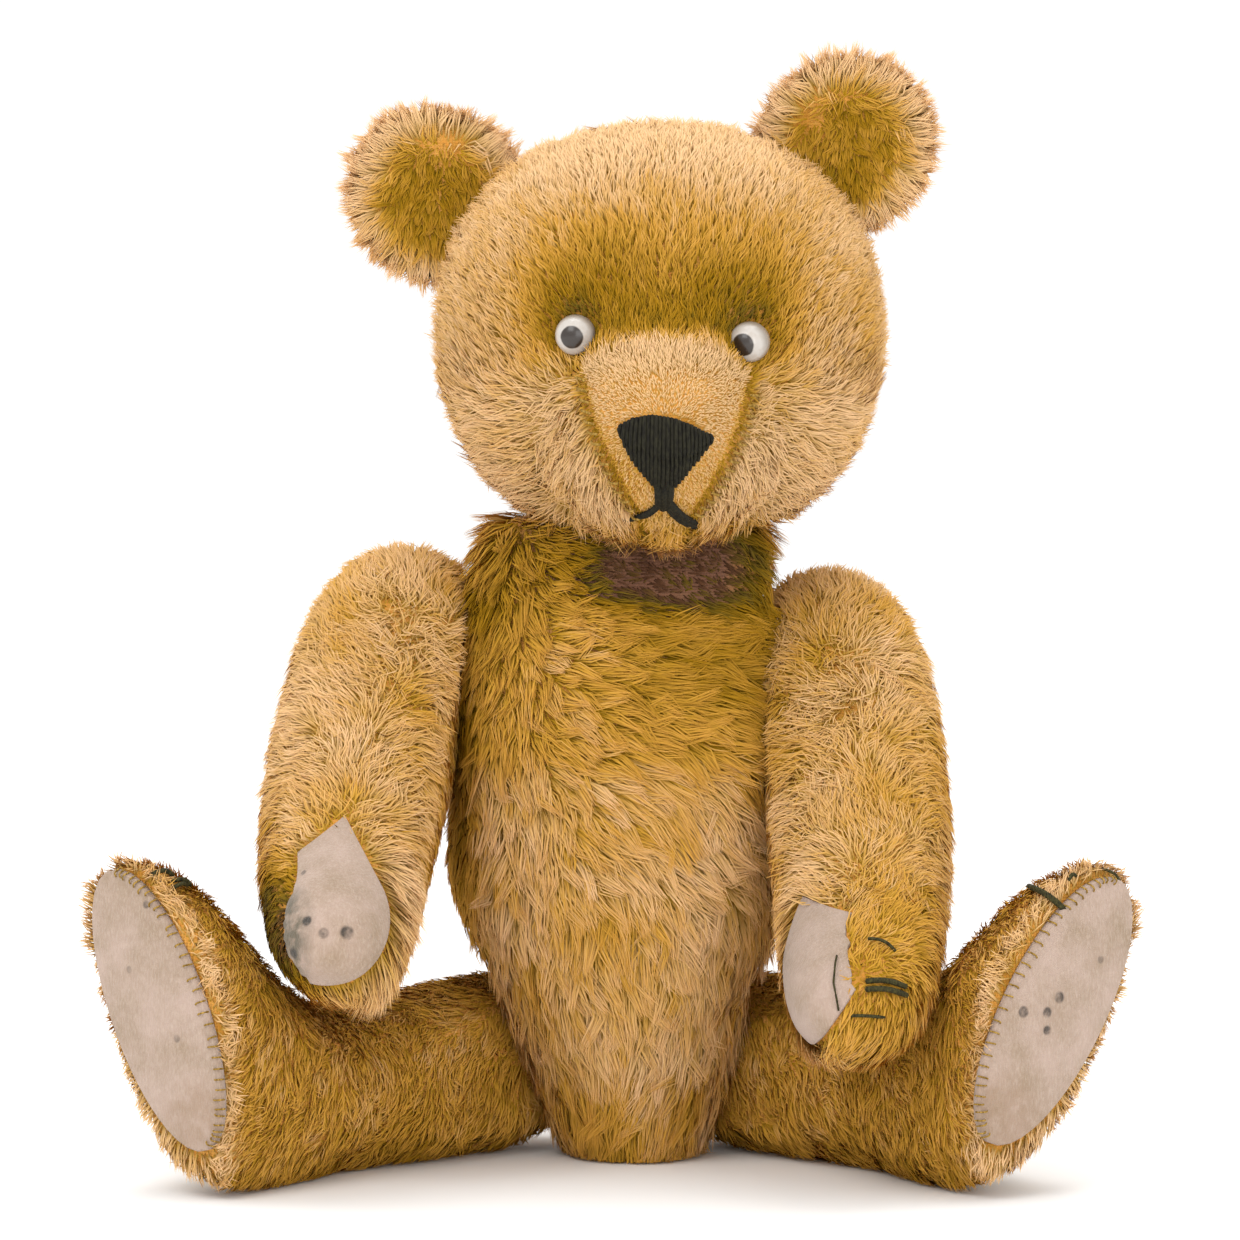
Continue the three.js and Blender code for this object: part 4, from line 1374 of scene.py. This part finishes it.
class BEAR_OT_felts(bpy.types.Operator):
    """Makes the worn felt paw pads and soles"""

    bl_idname = "bear.felts"
    bl_label = "Felt pads and soles"

    def execute(self, context):
        for side in SIDES:
            palm = palm_place(side)
            arm = SKINS[f"arm_{side}"]
            shift = np.array(PAD_SHIFT[side])
            edge = pad_edge(arm, palm, shift)
            pad = felt_piece(f"paw_felt_{side}", lambda t: edge,
                             lambda flat: drape(arm, palm, flat + shift))
            spots = []
            if side == "left":
                places, facing = drape(arm, palm, [hole[:2] for hole in PAD_HOLES])
                places = places + facing * FELT * 0.8
                spots = [(place, 1.4 * radius, strength, "1d160e")
                         for place, (_, _, radius, strength) in zip(places, PAD_HOLES)]
                spots.insert(0, (places[2], 15, 0.85, "4c4630"))
            finish(pad, f"arm_{side}", felt_material(f"paw_felt_{side}", spots), "wool_felt",
                   f"paw_pad_{side}")
            sole = sole_place(side)
            long, wide = SOLE_HALF[1], SOLE_HALF[0]
            felt = felt_piece(
                f"sole_felt_{side}",
                lambda t: 1 / np.hypot(np.sin(t) / wide, np.cos(t) / long),
                lambda flat: (sole.out(np.column_stack([flat, np.full(len(flat), -FELT / 2)])),
                              np.broadcast_to(sole.axes[2], (len(flat), 3))))
            spots = [(sole.out((x, y, 0.7)), 1.3 * r, s, "2a1c10") for x, y, r, s in SOLE_HOLES[side]]
            spots.insert(0, (sole.out((0, -long + 4, 0)), 15, 0.4, "8a6a48"))
            finish(felt, f"leg_{side}", felt_material(f"sole_felt_{side}", spots), "wool_felt",
                   f"sole_{side}")
        return {"FINISHED"}


class BEAR_OT_eyes(bpy.types.Operator):
    """Makes both glass eyes, which look down and to the bear's right"""

    bl_idname = "bear.eyes"
    bl_label = "Eyes"

    def execute(self, context):
        look = context.scene.bear_eyes
        gaze = {"left": look.gaze_left, "right": look.gaze_right}
        polar, turn = globe(32, 48)
        ball = np.stack(np.broadcast_arrays(np.sin(polar) * np.cos(turn), -np.cos(polar),
                                            np.sin(polar) * np.sin(turn)), -1)
        for side in SIDES:
            centre, across = eye_ball(side)
            rings = centre + ball * across / 2
            eye = closed_object(f"glass_eye_{side}", rings[0, 0], rings[1:-1], rings[-1, 0])
            finish(eye, "head", eye_material(side, centre, gaze[side]), "eye_glass", f"eye_{side}")
        return {"FINISHED"}


class BEAR_OT_face(bpy.types.Operator):
    """Sews the nose in two layers of satin stitch, the mouth, and the two seams down the muzzle"""

    bl_idname = "bear.face"
    bl_label = "Nose, mouth and seams"

    def execute(self, context):
        face, skin = face_place(), SKINS["head"]
        u = np.linspace(0, 1, 9)
        threads = []
        for inset in (0.0, 0.4):
            x = np.linspace(-9.3 + inset, 10.9 - inset, NOSE_THREADS)
            top, bottom = nose_edges(x)
            up = np.stack([x + 0.12, top + 0.1], -1)
            down = np.stack([x - 0.12 * np.cos(x), bottom - 0.1], -1)
            threads.append(up[:, None] + (down - up)[:, None] * u[None, :, None])
        low, high = (np.full((NOSE_THREADS, 1), layer) for layer in (0.5, 1.15))
        height = np.concatenate([low, high]) + 0.75 * np.sin(np.pi * u)
        paths = seated(skin, face, np.concatenate(threads), height)
        uneven = 0.5 + 0.07 * np.sin(np.arange(NOSE_THREADS) * 2.3)
        wide = np.concatenate([np.full(NOSE_THREADS, 0.72), uneven])
        nose = tubes("nose_satin", paths, np.broadcast_to(wide[:, None], (len(wide), len(u))), 8)
        nose_thread = bpy.data.materials["nose_thread"]
        finish(nose, "head", nose_thread, "embroidery_thread", "nose_stitching")
        for name, ends, radius, bow in (
            ("mouth_stem", [((2.0, -31.5), (1.4, -38.4)), ((-1.0, -31.8), (-0.6, -38.4)),
                            ((0.5, -31.5), (0.4, -38.9))], 1.0, 0.02),
            ("mouth_stitch_left", [((0.2, -37.2), (-8.8, -42.2)),
                                   ((-0.4, -37.8), (-5.6, -41.2))], 0.75, 0.05),
            ("mouth_stitch_right", [((0.6, -37.4), (7.6, -44.0)), ((1.6, -36.8), (8.2, -43.0)),
                                    ((1.2, -37.2), (8.3, -44.2))], 0.85, -0.04),
        ):
            lines = seated(skin, face, strokes(ends, bow=bow), 0.35 + 0.75 * np.sin(np.pi * u))
            finish(tubes(f"{name}_thread", lines, radius, 8), "head", nose_thread,
                   "embroidery_thread", name)
        seams = []
        for from_x, from_z, bend_x, bend_z, to_x, to_z in (
            (-18.6, -9.0, -15.6, -26.0, -5.6, -40.5), (21.6, -13.0, 18.0, -29.0, 8.6, -40.0),
        ):
            t = np.linspace(0, 1, 15)
            x = (1 - t) ** 2 * from_x + 2 * t * (1 - t) * bend_x + t * t * to_x
            z = (1 - t) ** 2 * from_z + 2 * t * (1 - t) * bend_z + t * t * to_z
            seams.append(np.stack([np.stack([x - 1.1, z + 0.3], -1), np.stack([x + 1.1, z - 0.3], -1)], 1))
        arch = 1.3 + 0.7 * np.sin(np.pi * np.linspace(0, 1, 5))
        laid = seated(skin, face, strokes(np.concatenate(seams), 5), arch)
        finish(tubes("muzzle_seam_stitches", laid, 0.33, 6), "head", bpy.data.materials["seam_thread"],
               "embroidery_thread")
        return {"FINISHED"}


class BEAR_OT_claws(bpy.types.Operator):
    """Sews the claws that are left on one paw and both feet, and the whip stitches of the soles"""

    bl_idname = "bear.claws"
    bl_label = "Claws and whip stitches"

    def execute(self, context):
        down = context.scene.bear_stage.camera_down
        front = Place((AIM[0] / MM - SHIFT[0], 0, AIM[1] / MM), (1, 0, 0),
                      (0, math.sin(down), math.cos(down)), (0, -math.cos(down), math.sin(down)))
        u = np.linspace(0, 1, 7)
        for name, claws in CLAWS.items():
            ends = np.array(claws)[:, :4].reshape(-1, 2, 2)
            radius = np.repeat(np.array(claws)[:, 4:], 7, axis=1)
            home = front.into(sole_place(name[4:]).origin)[:2] if name.startswith("leg") else None
            lines = seated(SKINS[name], front, strokes(ends, 7, 0.04), 1.6 + np.sin(np.pi * u), home)
            finish(tubes(f"{name}_claws", lines, radius, 8), name, bpy.data.materials["claw_thread"],
                   "embroidery_thread")
        for side, first, last in (("left", -172, -15), ("right", -172, -8)):
            sole = sole_place(side)
            angle = np.radians(np.linspace(first, last, SOLE_STITCHES))
            jitter = np.random.default_rng(20 + len(side)).normal(0, 0.35, (SOLE_STITCHES, 2))
            rim = np.stack([SOLE_HALF[0] * np.sin(angle), SOLE_HALF[1] * np.cos(angle)], -1)
            away = unit(rim / np.array(SOLE_HALF) ** 2)
            start, end = rim - away * 1.4 + jitter, rim + away * 0.5 + jitter * 0.4
            t = np.linspace(0, 1, 6)
            arch = 0.35 + 0.7 * np.sin(np.pi * t) - 1.4 * t**3
            flat = start[:, None] + (end - start)[:, None] * t[None, :, None]
            local = np.concatenate([flat, np.broadcast_to(arch[:, None], (*flat.shape[:2], 1))], -1)
            finish(tubes(f"sole_{side}_whip_stitches", sole.out(local), 0.22, 6), f"leg_{side}",
                   bpy.data.materials["seam_thread"], "embroidery_thread")
        return {"FINISHED"}


class BEAR_OT_hardware(bpy.types.Operator):
    """Gives the joints' boards, washers and pins, and the eyes' shanks, their own finish"""

    bl_idname = "bear.hardware"
    bl_label = "Joint hardware"

    def execute(self, context):
        for name in frame["nodes"]:
            if "disc" in name:
                wear(bpy.data.objects[name], bpy.data.materials["joint_board_fibre"])
            elif "washer" in name or "pin" in name or "shank" in name:
                wear(bpy.data.objects[name], bpy.data.materials["joint_steel"])
        return {"FINISHED"}


class BEAR_OT_stage(bpy.types.Operator):
    """Sets the pale floor, the soft lights, the white surround and the camera"""

    bl_idname = "bear.stage"
    bl_label = "Stage"

    def execute(self, context):
        look = context.scene.bear_stage
        around, rows = 96, 24
        turn = np.arange(around) * 2 * np.pi / around
        reach = look.floor_reach / MM * np.linspace(0, 1, rows + 1)[1:] ** 2
        rings = np.stack(np.broadcast_arrays(reach[:, None] * np.cos(turn), reach[:, None] * np.sin(turn),
                                             np.array(-0.2)), -1)
        points = np.concatenate([[(0, 0, -0.2)], rings.reshape(-1, 3)])
        j = np.arange(around)
        k = (j + 1) % around
        ring = 1 + np.arange(rows - 1)[:, None] * around
        quads = np.stack([ring + j, ring + around + j, ring + around + k, ring + k], -1).reshape(-1, 4)
        middle = np.stack([np.zeros(around, int), 1 + j, 1 + k], -1)
        floor = mesh_object("floor", points, [quads, middle])
        wear(floor, bpy.data.materials["pale_floor"])
        for name, place, size, power in (
            ("key_light", (-0.9, -1.5, 1.6), 1.2, look.key),
            ("fill_light", (0.7, -2.0, 0.5), 1.4, look.fill),
            ("top_light", (0.1, 0.5, 1.8), 1.2, look.top),
        ):
            light = bpy.data.lights.new(name, "AREA")
            light.size = size
            light.energy = power
            lamp = bpy.data.objects.new(name, light)
            lamp.location = place
            aim = math.atan2(math.hypot(place[0], place[1]), place[2] - 0.12)
            lamp.rotation_euler = (aim, 0, math.atan2(place[1], place[0]) + math.pi / 2)
            context.scene.collection.objects.link(lamp)
        world = bpy.data.worlds.new("studio")
        world.use_nodes = True
        world.node_tree.nodes["Background"].inputs["Color"].default_value = (1, 1, 1, 1)
        world.node_tree.nodes["Background"].inputs["Strength"].default_value = look.surround
        context.scene.world = world
        context.scene.view_settings.view_transform = "Standard"
        camera = bpy.data.cameras.new("camera")
        camera.sensor_width = 36
        camera.lens = look.lens
        viewer = bpy.data.objects.new("camera", camera)
        down = look.camera_down
        viewer.location = (AIM[0], SHIFT[1] * MM - look.camera_away * math.cos(down),
                           AIM[1] + look.camera_away * math.sin(down))
        viewer.rotation_euler = (math.pi / 2 - down, 0, 0)
        context.scene.collection.objects.link(viewer)
        context.scene.camera = viewer
        return {"FINISHED"}


# ---------------------------------------------------------------- settings, panel and main


def colour(name, description, code):
    """A colour setting."""
    return bpy.props.FloatVectorProperty(name=name, description=description, subtype="COLOR", size=4,
                                         min=0, max=1, default=ink(code))


class BearPile(bpy.types.PropertyGroup):
    """The pile's hairs and colours"""

    width: bpy.props.FloatProperty(name="Hair width", description="Width of one hair, as matted fibres",
                                   default=0.00037, precision=5, unit="LENGTH")
    fade: bpy.props.FloatProperty(name="Fade", description="How late a hair turns to its tip colour",
                                  default=0.85, min=0.1)
    peach_root: colour("Peach root", "Root of the pale hairs", "9a7418")
    peach_tip: colour("Peach tip", "Tip of the pale hairs", "f3c999")
    gold_root: colour("Gold root", "Root of the gold hairs", "a07a00")
    gold_tip: colour("Gold tip", "Tip of the gold hairs", "d8a048")
    olive_root: colour("Olive root", "Root of the olive hairs", "705600")
    olive_tip: colour("Olive tip", "Tip of the olive hairs", "a87a14")
    stain_root: colour("Stain root", "Root of the soiled hairs", "332b04")
    stain_tip: colour("Stain tip", "Tip of the soiled hairs", "75601c")
    neck_root: colour("Neck root", "Root of the hairs in the stained neck", "3a2216")
    neck_tip: colour("Neck tip", "Tip of the hairs in the stained neck", "64432c")


class BearFelt(bpy.types.PropertyGroup):
    """The felt's colours"""

    clean: colour("Felt", "Felt where it is cleanest", "b2998a")
    grime: colour("Grime", "Felt where it is soiled", "967e66")
    nap: colour("Nap", "Loose fibres on the felt", "c6b2a0")


class BearThread(bpy.types.PropertyGroup):
    """The threads' colours"""

    nose: colour("Nose", "Nose thread in its hollows", "14120d")
    nose_sheen: colour("Nose sheen", "Nose thread where it catches light", "2b291b")
    claw: colour("Claws", "Claw thread in its hollows", "1c1a0c")
    claw_sheen: colour("Claw sheen", "Claw thread where it catches light", "4a4522")
    seam: colour("Seams", "Sewing thread in its hollows", "6e5216")
    seam_sheen: colour("Seam sheen", "Sewing thread where it catches light", "b8944a")


class BearEyes(bpy.types.PropertyGroup):
    """The eyes"""

    pupil: bpy.props.FloatProperty(name="Pupil", description="Half angle of the pupil", subtype="ANGLE",
                                   default=math.radians(33))
    gaze_left: bpy.props.FloatVectorProperty(name="Left gaze", description="Where the left eye looks",
                                             subtype="DIRECTION", default=(-0.22, -1.0, -0.1))
    gaze_right: bpy.props.FloatVectorProperty(name="Right gaze", description="Where the right eye looks",
                                              subtype="DIRECTION", default=(-0.42, -1.0, -0.15))
    white: colour("White", "The glass round the pupil", "bdb6ae")
    haze: colour("Haze", "Cloudy streaks in the glass", "a89888")
    iris: colour("Pupil colour", "The pupil", "2a2018")


class BearStage(bpy.types.PropertyGroup):
    """The floor, the lights and the camera"""

    floor_reach: bpy.props.FloatProperty(name="Floor", description="Radius of the floor", default=3.0,
                                         unit="LENGTH")
    surround: bpy.props.FloatProperty(name="Surround", description="Brightness of the surround",
                                      default=1.06)
    key: bpy.props.FloatProperty(name="Key light", description="Power of the key light", default=15.0)
    fill: bpy.props.FloatProperty(name="Fill light", description="Power of the fill light", default=13.0)
    top: bpy.props.FloatProperty(name="Top light", description="Power of the top light", default=12.0)
    lens: bpy.props.FloatProperty(name="Lens", description="Focal length in millimetres", default=232.26)
    camera_away: bpy.props.FloatProperty(name="Camera distance", description="From the shoulders' plane",
                                         default=2.0, unit="LENGTH")
    camera_down: bpy.props.FloatProperty(name="Camera tilt", description="How far it looks down",
                                         subtype="ANGLE", default=math.radians(4))


OPERATORS = (BEAR_OT_materials, BEAR_OT_torso, BEAR_OT_head, BEAR_OT_ears, BEAR_OT_arms, BEAR_OT_legs,
             BEAR_OT_felts, BEAR_OT_eyes, BEAR_OT_face, BEAR_OT_claws, BEAR_OT_hardware, BEAR_OT_stage)
SETTINGS = {"bear_pile": BearPile, "bear_felt": BearFelt, "bear_thread": BearThread,
            "bear_eyes": BearEyes, "bear_stage": BearStage}


class BEAR_PT_panel(bpy.types.Panel):
    """Lists the bear's settings and the operators that make it"""

    bl_label = "Worn mohair bear"
    bl_space_type = "VIEW_3D"
    bl_region_type = "UI"
    bl_category = "Bear"

    def draw(self, context):
        for name, group in SETTINGS.items():
            box = self.layout.box()
            for key in group.__annotations__:
                box.prop(getattr(context.scene, name), key)
        for operator in OPERATORS:
            self.layout.operator(operator.bl_idname)


def register():
    for made in (*SETTINGS.values(), *OPERATORS, BEAR_PT_panel):
        bpy.utils.register_class(made)
    for name, group in SETTINGS.items():
        setattr(bpy.types.Scene, name, bpy.props.PointerProperty(type=group))


def unregister():
    for name in SETTINGS:
        delattr(bpy.types.Scene, name)
    for made in (BEAR_PT_panel, *reversed(OPERATORS), *SETTINGS.values()):
        bpy.utils.unregister_class(made)


def main():
    """Makes the bear."""
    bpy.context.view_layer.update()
    register()
    for operator in OPERATORS:
        group, name = operator.bl_idname.split(".")
        getattr(getattr(bpy.ops, group), name)()


if __name__ == "__main__":
    main()
